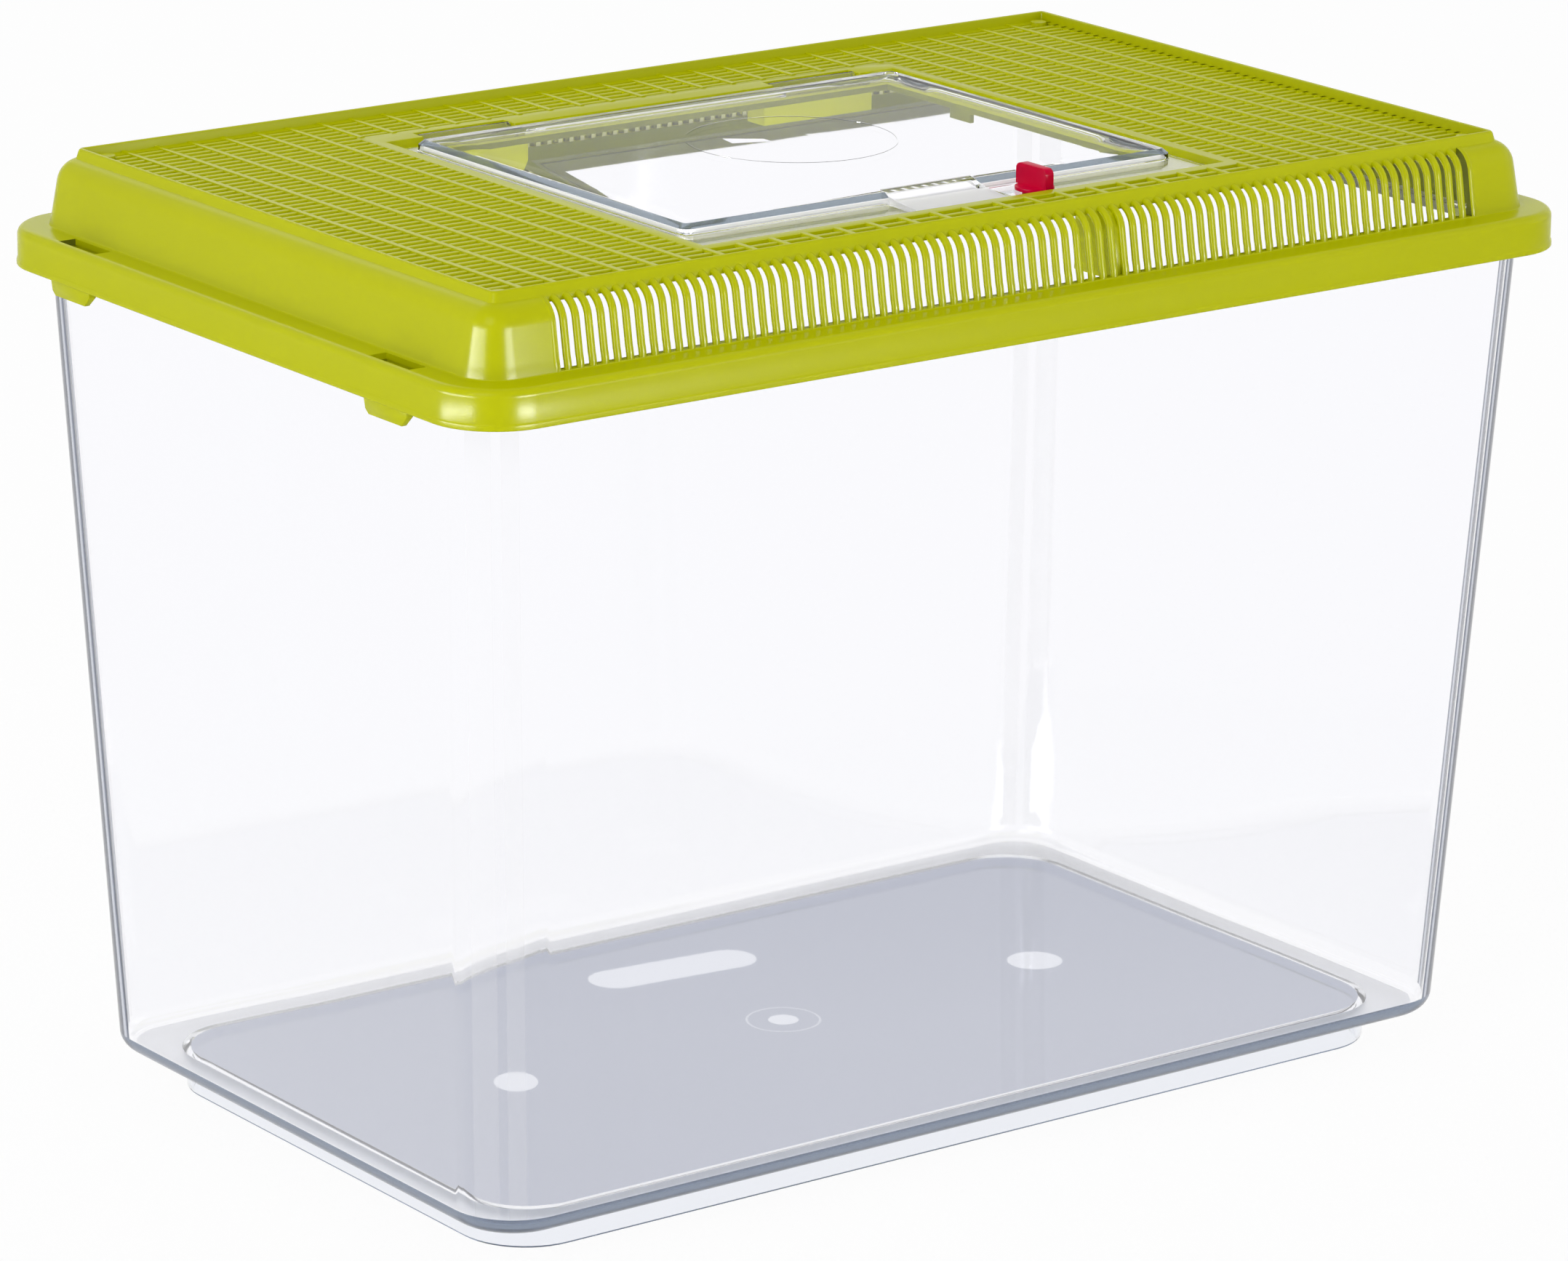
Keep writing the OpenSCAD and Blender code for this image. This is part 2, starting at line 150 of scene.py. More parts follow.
class KeeperColours(bpy.types.PropertyGroup):
    lid: colour("Lid", "Colour of the moulded lid", (0.505, 0.53, 0.0))
    # Painted shade for the lid's inner faces, which are the lid's own plastic.
    inside: colour("Lid inner shade", "Painted shade on the lid's inner faces", (0.15, 0.165, 0.01))
    latch: colour("Latch", "Colour of the thumb-turn latch", (0.66, 0.001, 0.042))
    # Painted darkness of the heel, whose plastic is as clear as the walls.
    heel: colour("Heel", "Painted darkness of the tank's thick lower edge", (0.055, 0.078, 0.13))
    # Painted dark line on the hatch's bevel, whose plastic is clear.
    bevel: colour("Hatch bevel", "Painted dark line on the hatch's bevelled edge", (0.15, 0.20, 0.25))
    clear: colour("Clear plastic", "Tint of the tank's walls and the hatch", (0.985, 0.985, 1.0))
    frosted: colour("Frosted floor", "Tint of the tank's textured floor", (0.182, 0.203, 0.285))


class KeeperSizes(bpy.types.PropertyGroup):
    vent_count: IntProperty(
        name="Vent slots", description="Number of upright slots in the front and the back",
        default=80, min=10, max=84)
    vent_pitch: length("Vent spacing", "Spacing of the upright slots", 0.00429)
    vent_width: length("Vent width", "Width of an upright slot", 0.00185)
    slat_pitch: length("Slat spacing", "Spacing of the slats of the grille", 0.00423)
    slat_width: length("Slat width", "Width of a slat of the grille", 0.00193)
    rib_pitch: length("Rib spacing", "Spacing of the ribs that cross the slats", 0.0118)
    rib_width: length("Rib width", "Width of a rib of the grille", 0.002)


class KeeperStage(bpy.types.PropertyGroup):
    key_power: power("Key lamp", "Power of the large lamp over the front left", 19.0)
    fill_power: power("Fill lamp", "Power of the lamp on the right", 5.0)
    box_power: power("Soft boxes", "Power of a long soft box seen in the gloss", 140.0)
    room_light: FloatProperty(
        name="Room light", description="Strength of the even light around the stage", default=0.58)


# ---------------- mesh helpers
def add_object(name, data):
    obj = bpy.data.objects.new(name, data)
    bpy.context.scene.collection.objects.link(obj)
    return obj


def make_object(name, verts, faces, smooth_angle=30, mats=()):
    """A mesh object from millimetre points, with outward faces and smooth shading."""
    mesh = bpy.data.meshes.new(name)
    mesh.from_pydata([tuple(c * MM for c in v) for v in verts], [], faces)
    bm = bmesh.new()
    bm.from_mesh(mesh)
    bmesh.ops.remove_doubles(bm, verts=bm.verts, dist=1e-7)
    bmesh.ops.recalc_face_normals(bm, faces=bm.faces)
    bm.to_mesh(mesh)
    bm.free()
    obj = add_object(name, mesh)
    for m in mats:
        mesh.materials.append(m)
    shade(obj, smooth_angle)
    return obj


def shade(obj, angle):
    obj.data.shade_smooth()
    obj.data.set_sharp_from_angle(angle=math.radians(angle))


def apply_modifiers(obj, angle=30):
    """Turns the evaluated object into its own plain mesh."""
    deps = bpy.context.evaluated_depsgraph_get()
    mesh = bpy.data.meshes.new_from_object(obj.evaluated_get(deps), depsgraph=deps)
    obj.modifiers.clear()
    old = obj.data
    obj.data = mesh
    bpy.data.meshes.remove(old)
    mesh.name = obj.name
    shade(obj, angle)
    return obj


def bevelled(obj, width):
    mod = obj.modifiers.new("round", "BEVEL")
    mod.width = width * MM
    mod.segments = 2
    mod.limit_method = "ANGLE"
    mod.angle_limit = math.radians(30)
    return apply_modifiers(obj, 40)


def block(x0, x1, y0, y1, z0, z1):
    """Box as (vertices, faces) in millimetres."""
    v = [(x, y, z) for z in (z0, z1) for y in (y0, y1) for x in (x0, x1)]
    f = [(0, 2, 3, 1), (4, 5, 7, 6), (0, 1, 5, 4), (1, 3, 7, 5), (3, 2, 6, 7), (2, 0, 4, 6)]
    return v, f


def prism_faces(n):
    """Two caps and the sides between two outlines of n points."""
    return ([tuple(range(n - 1, -1, -1)), tuple(range(n, 2 * n))]
            + [(i, (i + 1) % n, n + (i + 1) % n, n + i) for i in range(n)])


def circle(x, y, r, n):
    return [(x + r * math.cos(2 * math.pi * i / n), y + r * math.sin(2 * math.pi * i / n)) for i in range(n)]


def prism_x(x0, x1, outline):
    """Solid along X from a closed outline of (y, z) points."""
    return [(x, y, z) for x in (x0, x1) for y, z in outline], prism_faces(len(outline))


def prism_y(y0, y1, outline):
    """Solid along Y from a closed outline of (x, z) points."""
    return [(x, y, z) for y in (y0, y1) for x, z in outline], prism_faces(len(outline))


def rod_x(x0, x1, y, z, r, n=24):
    return prism_x(x0, x1, circle(y, z, r, n))


def rod_z(x, y, r, z0, z1, n=40):
    return [(a, b, z) for z in (z0, z1) for a, b in circle(x, y, r, n)], prism_faces(n)


def carve(name, adds, cuts, round_mm, mats, merge_flat=True):
    """Joins solids, cuts others away and rounds the edges that are left by round_mm, if not 0."""
    base = make_object(name, *adds[0], mats=mats)
    helpers = []
    for kind, group in (("UNION", adds[1:]), ("DIFFERENCE", cuts)):
        for v, f in group:
            tool = make_object(name + "_tool", v, f)
            mod = base.modifiers.new("b", "BOOLEAN")
            mod.operation = kind
            mod.solver = "EXACT"
            mod.object = tool
            helpers.append(tool)
    apply_modifiers(base)
    for tool in helpers:
        bpy.data.objects.remove(tool)
    bm = bmesh.new()
    bm.from_mesh(base.data)
    bmesh.ops.remove_doubles(bm, verts=bm.verts, dist=2e-6)
    if merge_flat:
        bmesh.ops.dissolve_limit(bm, angle_limit=math.radians(1), verts=bm.verts, edges=bm.edges)
    bm.to_mesh(base.data)
    bm.free()
    if round_mm:
        bevelled(base, round_mm)
    return base


def arc(cx, cz, r, a0, a1, n):
    pts = []
    for i in range(n + 1):
        a = math.radians(a0 + (a1 - a0) * i / n)
        pts.append((cx + r * math.cos(a), cz + r * math.sin(a)))
    return pts


def rounded_ring(hx, hy, r, z, n=12, cy=0.0, parts=1):
    """Counter-clockwise rounded rectangle, with each straight side in this many parts."""
    pts = []
    for q, (sx, sy) in enumerate(((1, 1), (-1, 1), (-1, -1), (1, -1))):
        for i in range(n + 1):
            a = math.radians(q * 90 + i * 90 / n)
            pts.append((sx * (hx - r) + r * math.cos(a), cy + sy * (hy - r) + r * math.sin(a), z))
    if parts == 1:
        return pts
    out = []
    for q in range(4):
        corner = pts[q * (n + 1):(q + 1) * (n + 1)]
        a, b = corner[-1], pts[(q + 1) * (n + 1) % len(pts)]
        out += corner
        out += [tuple(a[c] + (b[c] - a[c]) * k / parts for c in range(3)) for k in range(1, parts)]
    return out


def stacked(rings):
    """Closed shell (vertices, faces) through rings of equal length, in order."""
    n = len(rings[0])
    faces = [(k * n + i, k * n + (i + 1) % n, (k + 1) * n + (i + 1) % n, (k + 1) * n + i)
             for k in range(len(rings) - 1) for i in range(n)]
    faces.append(tuple(range(n - 1, -1, -1)))
    faces.append(tuple(range((len(rings) - 1) * n, len(rings) * n)))
    return [p for ring in rings for p in ring], faces


# ---------------- materials
def socket(group, name, kind, into=True, default=None):
    s = group.interface.new_socket(name=name, in_out="INPUT" if into else "OUTPUT", socket_type="NodeSocket" + kind)
    if default is not None:
        s.default_value = default
    return s


def maths_in(tree):
    """A function that adds a maths node on numbers or sockets to the tree and gives its output."""
    def add(op, *values):
        m = tree.nodes.new("ShaderNodeMath")
        m.operation = op
        for i, value in enumerate(values):
            if isinstance(value, (int, float)):
                m.inputs[i].default_value = value
            else:
                tree.links.new(value, m.inputs[i])
        return m.outputs[0]
    return add


def moulded_group():
    """Tone, gloss and fine grain of injection-moulded plastic."""
    g = bpy.data.node_groups.new("Moulded plastic", "ShaderNodeTree")
    socket(g, "Color", "Color", default=(0.5, 0.5, 0.5, 1))
    for name, value in (("Tone", 0.05), ("Roughness", 0.3), ("Gloss spread", 0.08), ("Grain", 1.0)):
        socket(g, name, "Float", default=value)
    for name, kind in (("Color", "Color"), ("Roughness", "Float"), ("Height", "Float")):
        socket(g, name, kind, into=False)
    n, link = g.nodes, g.links.new
    gin = n.new("NodeGroupInput")
    out = n.new("NodeGroupOutput")
    coord = n.new("ShaderNodeTexCoord")

    def noise(scale, detail):
        t = n.new("ShaderNodeTexNoise")
        t.inputs["Scale"].default_value = scale
        t.inputs["Detail"].default_value = detail
        link(coord.outputs["Object"], t.inputs["Vector"])
        return t

    maths = maths_in(g)
    broad = noise(9.0, 2.0)
    flow = noise(60.0, 3.0)
    grain = noise(2600.0, 2.0)
    tone = maths("MULTIPLY", maths("SUBTRACT", broad.outputs["Fac"], 0.5), gin.outputs["Tone"])
    hsv = n.new("ShaderNodeHueSaturation")
    link(gin.outputs["Color"], hsv.inputs["Color"])
    link(maths("ADD", tone, 1.0), hsv.inputs["Value"])
    link(hsv.outputs["Color"], out.inputs["Color"])
    spread = maths("MULTIPLY", maths("SUBTRACT", flow.outputs["Fac"], 0.5), gin.outputs["Gloss spread"])
    link(maths("ADD", gin.outputs["Roughness"], spread), out.inputs["Roughness"])
    peel = maths("MULTIPLY", flow.outputs["Fac"], 0.35)
    height = maths("ADD", grain.outputs["Fac"], peel)
    link(maths("MULTIPLY", height, gin.outputs["Grain"]), out.inputs["Height"])
    return g


def plastic(name, color, rough, tone=0.06, grain=1.0, bump=0.02, spread=0.06, **fixed):
    """Principled plastic around the moulded group; fixed sets its own sockets."""
    m = bpy.data.materials.new(name)
    m.use_nodes = True
    n, link = m.node_tree.nodes, m.node_tree.links.new
    p = n["Principled BSDF"]
    g = n.new("ShaderNodeGroup")
    g.node_tree = bpy.data.node_groups.get("Moulded plastic") or moulded_group()
    for key, value in (("Color", (*color, 1)), ("Tone", tone), ("Roughness", rough),
                       ("Gloss spread", spread), ("Grain", grain)):
        g.inputs[key].default_value = value
    b = n.new("ShaderNodeBump")
    b.inputs["Strength"].default_value = bump
    b.inputs["Distance"].default_value = 0.0004
    link(g.outputs["Color"], p.inputs["Base Color"])
    link(g.outputs["Roughness"], p.inputs["Roughness"])
    link(g.outputs["Height"], b.inputs["Height"])
    link(b.outputs["Normal"], p.inputs["Normal"])
    for key, value in fixed.items():
        p.inputs[key.replace("_", " ")].default_value = value
    return m


def clear_plastic(name, color, rough, bump=0.006, **fixed):
    """Polished clear plastic, with hardly any grain."""
    fixed = {"IOR": 1.52, "Transmission_Weight": 1.0, **fixed}
    return plastic(name, color, rough, tone=0.0, grain=0.3, bump=bump, spread=0.02, **fixed)


def mark_group():
    """1 on the polished spots and the bare label panel of the floor, else 0."""
    g = bpy.data.node_groups.new("Floor marks", "ShaderNodeTree")
    socket(g, "Mask", "Float", into=False)
    n, link = g.nodes, g.links.new
    coord = n.new("ShaderNodeTexCoord")
    out = n.new("NodeGroupOutput")

    maths = maths_in(g)
    soft = 0.12

    def pill(x, y, turn, half, r):
        """Soft mask of a pill with this half length between the centres of its ends."""
        place = n.new("ShaderNodeMapping")
        place.vector_type = "TEXTURE"
        place.inputs["Location"].default_value = (x * MM, y * MM, 0)
        place.inputs["Rotation"].default_value = (0, 0, math.radians(turn))
        link(coord.outputs["Object"], place.inputs["Vector"])
        axes = n.new("ShaderNodeSeparateXYZ")
        link(place.outputs[0], axes.inputs[0])
        along = maths("SUBTRACT", maths("ABSOLUTE", axes.outputs[0]), half * MM)
        along = maths("POWER", maths("MAXIMUM", along, 0.0), 2.0)
        away = maths("SQRT", maths("ADD", along, maths("POWER", axes.outputs[1], 2.0)))
        edge = n.new("ShaderNodeMapRange")
        edge.inputs["From Min"].default_value = (r + soft) * MM
        edge.inputs["From Max"].default_value = (r - soft) * MM
        link(away, edge.inputs["Value"])
        return edge.outputs[0]

    def spot(x, r):
        return pill(x, 0, 0, 0, r)

    mask = pill(0, 60, -6, 21, 9)
    for x, r in ((0, 4.8), (101.5, 9), (-101.5, 9)):
        mask = maths("MAXIMUM", mask, spot(x, r))
    thin_ring = maths("MULTIPLY", maths("SUBTRACT", spot(0, 12), spot(0, 11.3)), 0.5)
    link(maths("MAXIMUM", mask, thin_ring), out.inputs["Mask"])
    return g


def mix_base(m, factor, first, second, blend="MIX"):
    """Feeds a material's base colour from a mix; None stands for the colour it had."""
    tree = m.node_tree
    base = tree.nodes["Principled BSDF"].inputs["Base Color"]
    source = base.links[0].from_socket
    mix = tree.nodes.new("ShaderNodeMix")
    mix.data_type = "RGBA"
    mix.blend_type = blend
    for i, value in ((0, factor), (6, first), (7, second)):
        value = source if value is None else value
        if isinstance(value, bpy.types.NodeSocket):
            tree.links.new(value, mix.inputs[i])
        else:
            mix.inputs[i].default_value = value
    tree.links.new(mix.outputs[2], base)
    return m


def show_marks(m, color):
    """Mixes the colour of the floor marks into a material's base colour."""
    marks = m.node_tree.nodes.new("ShaderNodeGroup")
    marks.node_tree = mark_group()
    return mix_base(m, marks.outputs["Mask"], None, (*color, 1))


def outside_colour(m, color):
    """Shows a colour only where a face is seen from outside the plastic; it carries the heel's painted darkness."""
    face = m.node_tree.nodes.new("ShaderNodeNewGeometry")
    return mix_base(m, face.outputs["Backfacing"], (*color, 1), None)


def painted_dark_edges(m, stops):
    """Paints dark edge lines on a clear plastic by how nearly edge-on it is seen, into its base colour and its
    specular tint.
    """
    n, link = m.node_tree.nodes, m.node_tree.links.new
    facing = n.new("ShaderNodeLayerWeight")
    facing.inputs["Blend"].default_value = 0.5
    ramp = n.new("ShaderNodeValToRGB")
    elements = ramp.color_ramp.elements
    while len(elements) < len(stops):
        elements.new(0.5)
    for e, (place, color) in zip(elements, stops):
        e.position = place
        e.color = (*color, 1)
    link(facing.outputs["Facing"], ramp.inputs["Fac"])
    link(ramp.outputs["Color"], n["Principled BSDF"].inputs["Specular Tint"])
    return mix_base(m, 1.0, None, ramp.outputs["Color"], "MULTIPLY")


# ---------------- tank
def wall_half(z):
    """Half length and half width of the outer wall at this height."""
    drop = TANK_TOP - FLANGE_T - z
    return WALL_X - drop * math.tan(TANK_DRAFT_X), WALL_Y - drop * math.tan(TANK_DRAFT_Y)


def wall_ring(z, inset):
    hx, hy = wall_half(z)
    return rounded_ring(hx - inset, hy - inset, TANK_R - inset, z)


def foot_ring(out, z):
    """Ring of the foot, this far outside its foot line."""
    hx, hy = wall_half(FOOT_H)
    return rounded_ring(hx - FOOT_IN_X + out, hy - FOOT_IN_Y + out, FOOT_R + min(out, 0), z)


def flange_ring(inset, z):
    return rounded_ring(LID_HALF_X - FLANGE_IN - inset, LID_HALF_Y - FLANGE_IN - inset, TANK_R - inset, z)


# Painted dark edges: colour factors by Layer Weight's facing, two dark lines with a paler one between them, in place
# of the dark refraction where a clear wall is seen edge-on.
EDGE_DARK_STOPS = ((0.56, (1, 1, 1)), (0.575, (0.05, 0.06, 0.09)), (0.605, (0.04, 0.05, 0.08)),
              (0.63, (0.40, 0.43, 0.52)), (0.67, (0.40, 0.43, 0.52)),
              (0.70, (0.03, 0.035, 0.05)), (1.0, (0.01, 0.012, 0.02)))
# Segments of each rounded corner that show painted highlight streaks, and the flat side after them.
HIGHLIGHT_STREAKS = (3, 4, 5, 7, 8)
SIDE = 12


def tank_stack():
    """Rings of the tank from the foot's hollow, up outside and down inside, each with its material."""
    wall, frosted, dark_band, ledge, highlight_streak, clear, foot = range(7)
    inner = HEEL - TANK_WALL
    heights = (60, 130, 200)
    # The heel band's rings get painted darkness, the corner streak rings painted highlight streaks.
    stack = [(foot_ring(out, z), kind) for out, z, kind in (
        (0.3 - FOOT_WALL, FOOT_H, foot), (-FOOT_WALL, 0.3, foot), (0.25 - FOOT_WALL, 0, foot), (-0.8, 0, dark_band),
        (-0.25, 0.25, dark_band), (0, 0.8, foot), (0.15, 6.4, dark_band), (0.3, FOOT_H, ledge))]
    stack += [(wall_ring(FOOT_H + HEEL * (1 - math.cos(a)), HEEL * (1 - math.sin(a))), dark_band)
              for a in (math.radians(11.25 * i) for i in range(8))]
    stack += [(wall_ring(z, 0), highlight_streak) for z in (FOOT_H + HEEL, *heights)]
    stack += [(wall_ring(TANK_TOP - FLANGE_T, 0), clear), (flange_ring(0.3, TANK_TOP - FLANGE_T), clear)]
    stack += [(flange_ring(0, TANK_TOP - FLANGE_T + 0.3), clear), (flange_ring(0, TANK_TOP - 0.3), clear)]
    stack += [(flange_ring(0.3, TANK_TOP), clear), (wall_ring(TANK_TOP, TANK_WALL - 0.3), clear)]
    stack += [(wall_ring(z, TANK_WALL), wall) for z in (TANK_TOP - 0.4, *reversed(heights))]
    stack += [(wall_ring(FOOT_H + TANK_WALL + inner * (1 - math.cos(a)), TANK_WALL + inner * (1 - math.sin(a))),
               clear) for a in (math.radians(15 * i) for i in range(6, -1, -1))]
    return stack, (wall, frosted, highlight_streak, clear)


class KEEPER_OT_tank(bpy.types.Operator):
    """Builds the tapered tank with its ring foot, heel and flange"""
    bl_idname = "keeper.tank"
    bl_label = "Build Tank"

    def execute(self, context):
        colours = context.scene.keeper_colours
        # Walls and corners get painted dark edge lines in place of their refraction.
        mats = [painted_dark_edges(clear_plastic("clear_wall", colours.clear, 0.02), EDGE_DARK_STOPS)]
        mats.append(show_marks(plastic("frosted_floor", colours.frosted, 0.4, bump=0.01,
                                       IOR=1.1, Transmission_Weight=1.0), (0.62, 0.65, 0.74)))
        # The heel band's outside gets painted darkness in place of the thick edge's refraction.
        mats.append(outside_colour(plastic("heel_band", colours.clear, 0.16, tone=0.05, bump=0.03, spread=0.05,
                                         IOR=1.52, Transmission_Weight=1.0), colours.heel))
        mats.append(plastic("heel_ledge", (0.84, 0.86, 0.92), 0.35, tone=0.05, grain=2.0, bump=0.08,
                            spread=0.08, IOR=1.48, Transmission_Weight=0.8))
        # Corner streaks: painted highlights, with the painted dark edges as well.
        mats.append(painted_dark_edges(clear_plastic("corner_streak", colours.clear, 0.05,
                                            Transmission_Weight=0.9), EDGE_DARK_STOPS))
        mats.append(clear_plastic("clear_base", colours.clear, 0.02))
        mats.append(clear_plastic("foot_wall", (0.86, 0.88, 0.93), 0.05))
        stack, (wall, frosted, highlight_streak, clear) = tank_stack()
        tank = make_object("tank_shell", *stacked([ring for ring, _ in stack]), 35, mats)
        n = len(stack[0][0])
        for poly in tank.data.polygons:
            k, i = divmod(poly.index, n)
            if k >= len(stack) - 1:
                kind = frosted if poly.index == n * (len(stack) - 1) else clear
            else:
                kind = stack[k][1]
            # Only some corner segments keep the painted highlight streaks.
            if kind == highlight_streak and i % (SIDE + 1) not in HIGHLIGHT_STREAKS:
                kind = wall
            if kind == wall and i % (SIDE + 1) == SIDE:
                kind = clear
            poly.material_index = kind

        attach(tank, "tank")
        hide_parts("tank")
        return {"FINISHED"}


# ---------------- lid
WALL_D = SHOULDER_D - SHOULDER * math.cos(DRAFT)
WALL_Z = SHOULDER_Z + SHOULDER * math.sin(DRAFT)
KNEE_Z = Z_SEAT + 8.1
KNEE_D = WALL_D - (WALL_Z - KNEE_Z) * math.tan(DRAFT)
FOOT_D = KNEE_D - 0.8
INNER_R = SHOULDER - LID_WALL


def lid_profile():
    """Closed outline of skirt, shelf, dome and lip as (inset, height), with named marks."""
    marks = {}
    pts = [(0.25, Z_SKIRT), (0.0, Z_SKIRT + 0.3), (0.0, Z_SKIRT + 1.3)]
    pts += [(0.12, Z_SKIRT + 1.8), (0.35, Z_SKIRT + 2.2)]
    pts += arc(3.0, Z_SHELF - 2.65, 2.65, 180, 90, 10)
    marks["shelf_a"] = len(pts) - 2
    pts += [(8.3, Z_SHELF)]
    marks["shelf_b"] = len(pts) - 1
    pts += [(FOOT_D - 0.35, Z_SHELF), (FOOT_D - 0.08, Z_SHELF + 0.1), (FOOT_D, Z_SHELF + 0.3), (FOOT_D + 0.02, Z_SILL)]
    marks["sill_out"] = len(pts) - 1
    pts += [(FOOT_D + 0.2, Z_SILL + 0.9), (FOOT_D + 0.5, Z_SILL + 2.2), (KNEE_D + 0.05, KNEE_Z)]
    a1 = 180 - math.degrees(math.acos((SHOULDER_D - LIP_OUT) / SHOULDER))
    i1 = 180 - math.degrees(math.acos((SHOULDER_D - LIP_OUT) / INNER_R))
    pts += arc(SHOULDER_D, SHOULDER_Z, SHOULDER, 170, a1, 8)
    marks["lip_out"] = len(pts) - 1
    pts += [(LIP_OUT + 0.3, Z_DOME + 0.3), (LIP_OUT + 0.85, Z_LIP - 0.8)]
    pts += [(LIP_OUT + 1.15, Z_LIP - 0.3), (LIP_OUT + 1.6, Z_LIP), (LIP_IN - 0.45, Z_LIP)]
    pts += [(LIP_IN - 0.12, Z_LIP - 0.15), (LIP_IN, Z_LIP - 0.5), (LIP_IN, Z_DOME - 2.4)]
    pts += [(SHOULDER_D, SHOULDER_Z + INNER_R)]
    marks["lip_in"] = len(pts)
    pts += arc(SHOULDER_D, SHOULDER_Z, INNER_R, i1, 170, 6)
    pts += [(KNEE_D + LID_WALL, KNEE_Z), (KNEE_D + LID_WALL + 0.2, Z_SILL)]
    marks["sill_in"] = len(pts) - 1
    pts += [(KNEE_D + LID_WALL + 0.35, Z_SEAT + 0.3), (KNEE_D + LID_WALL + 0.1, Z_SEAT)]
    pts += [(9.1, Z_SEAT), (8.8, Z_SEAT + 0.3)]
    under = Z_SHELF - LID_WALL
    pts += [(8.8, under), (8.3, under)]
    marks["under_b"] = len(pts) - 1
    pts += [(2.85, under)]
    marks["under_a"] = len(pts) - 1
    pts += [(0.45 + SKIRT, under - 0.1), (0.35 + SKIRT, under - 0.5)]
    pts += [(0.35 + SKIRT, Z_SKIRT + 0.2), (0.15 + SKIRT, Z_SKIRT)]
    return pts, marks


def lid_stations(x_vent, clips):
    """Stations round the lid: corner centre or line point, outward direction and a window's side."""
    ox, oy = LID_HALF_X - LID_CORNER, LID_HALF_Y - LID_CORNER
    st = []
    n = 14
    for q, (sx, sy) in enumerate(((1, 1), (-1, 1), (-1, -1), (1, -1))):
        for i in range(n + 1):
            a = math.radians(q * 90 + i * 90 / n)
            st.append((sx * ox, sy * oy, math.cos(a), math.sin(a), None))
        if q == 0:
            st += [(x, oy, 0, 1, "back") for x in (x_vent, -x_vent)]
        elif q == 1:
            st += [(-ox, y, -1, 0, "left") for y in sorted(clips, reverse=True)]
        elif q == 2:
            st += [(x, -oy, 0, -1, "front") for x in (-x_vent, x_vent)]
        else:
            st += [(ox, y, 1, 0, "right") for y in sorted(clips)]
    return st


def build_lid_shell(sizes, mat):
    """Sweeps the profile round the lid and opens the windows for the vents and the clip slots."""
    pts, marks = lid_profile()
    x_vent = ((sizes.vent_count - 1) * sizes.vent_pitch + sizes.vent_width) / 2 / MM
    clips = [s * (SLOT_Y + d * SLOT_HALF) for s in (-1, 1) for d in (-1, 1)]
    st = lid_stations(x_vent, clips)
    n, m = len(pts), len(st)
    verts = []
    for cx, cy, nx, ny, _ in st:
        for d, z in pts:
            r = LID_CORNER - d
            verts.append((cx + r * nx, cy + r * ny, z))
    tags = [s[4] for s in st]
    windows = []
    for side in ("front", "back"):
        i = tags.index(side)
        windows.append((i, marks["sill_out"], marks["lip_out"], marks["lip_in"], marks["sill_in"]))
    for side in ("left", "right"):
        i = tags.index(side)
        for k in (i, i + 2):
            windows.append((k, marks["shelf_a"], marks["shelf_b"], marks["under_b"], marks["under_a"]))
    gone, extra = set(), []
    for k, a, b, c, d in windows:
        gone |= {(k, j) for j in list(range(a, b)) + list(range(c, d))}
        k2 = (k + 1) % m
        extra.append((k * n + b, k * n + c, k2 * n + c, k2 * n + b))
        extra.append((k * n + d, k * n + a, k2 * n + a, k2 * n + d))
        chain = list(range(a, b + 1)) + list(range(c, d + 1))
        extra.append(tuple(k * n + j for j in chain))
        extra.append(tuple(k2 * n + j for j in reversed(chain)))
    faces = []
    for k in range(m):
        k2 = (k + 1) % m
        for j in range(n):
            if (k, j) not in gone:
                j2 = (j + 1) % n
                faces.append((k * n + j, k * n + j2, k2 * n + j2, k2 * n + j))
    return make_object("lid_rim", verts, faces + extra, 38, (mat,))


def vent_path():
    """Middle line of a vent slat, from the shelf to the lip, as (inset, height)."""
    mid = [(KNEE_D + 0.15, Z_SHELF - 0.6), (KNEE_D + 0.2, Z_SILL + 0.8)]
    mid += [(KNEE_D + 0.5, Z_SILL + 2.4), (KNEE_D + 0.85, KNEE_Z)]
    return mid + arc(SHOULDER_D, SHOULDER_Z, SHOULDER - 0.85, 170, 98, 6)


def vent_slat_mesh(width, sides=12):
    """One rounded slat swept along the vent path, on the front."""
    path = vent_path()
    grow = 0.5 / math.cos(math.pi / sides)
    section = [(0.97 * width * grow * math.cos(a), 2.0 * grow * math.sin(a))
               for a in (math.pi * (2 * i + 1) / sides for i in range(sides))]
    rings = []
    for k, (d, z) in enumerate(path):
        a, b = path[max(k - 1, 0)], path[min(k + 1, len(path) - 1)]
        tx, tz = b[0] - a[0], b[1] - a[1]
        length = math.hypot(tx, tz)
        nd, nz = -tz / length, tx / length
        rings.append([(u, -(LID_HALF_Y - (d + nd * v)), z + nz * v) for u, v in section])
    return stacked(rings)


def gn_tree(name, sockets):
    tree = bpy.data.node_groups.new(name, "GeometryNodeTree")
    for label, kind, default in sockets + (("Turn", "Float", 0.0), ("Material", "Material", None)):
        socket(tree, label, kind, default=default)
    socket(tree, "Geometry", "Geometry", into=False)
    return tree, tree.nodes, tree.links.new


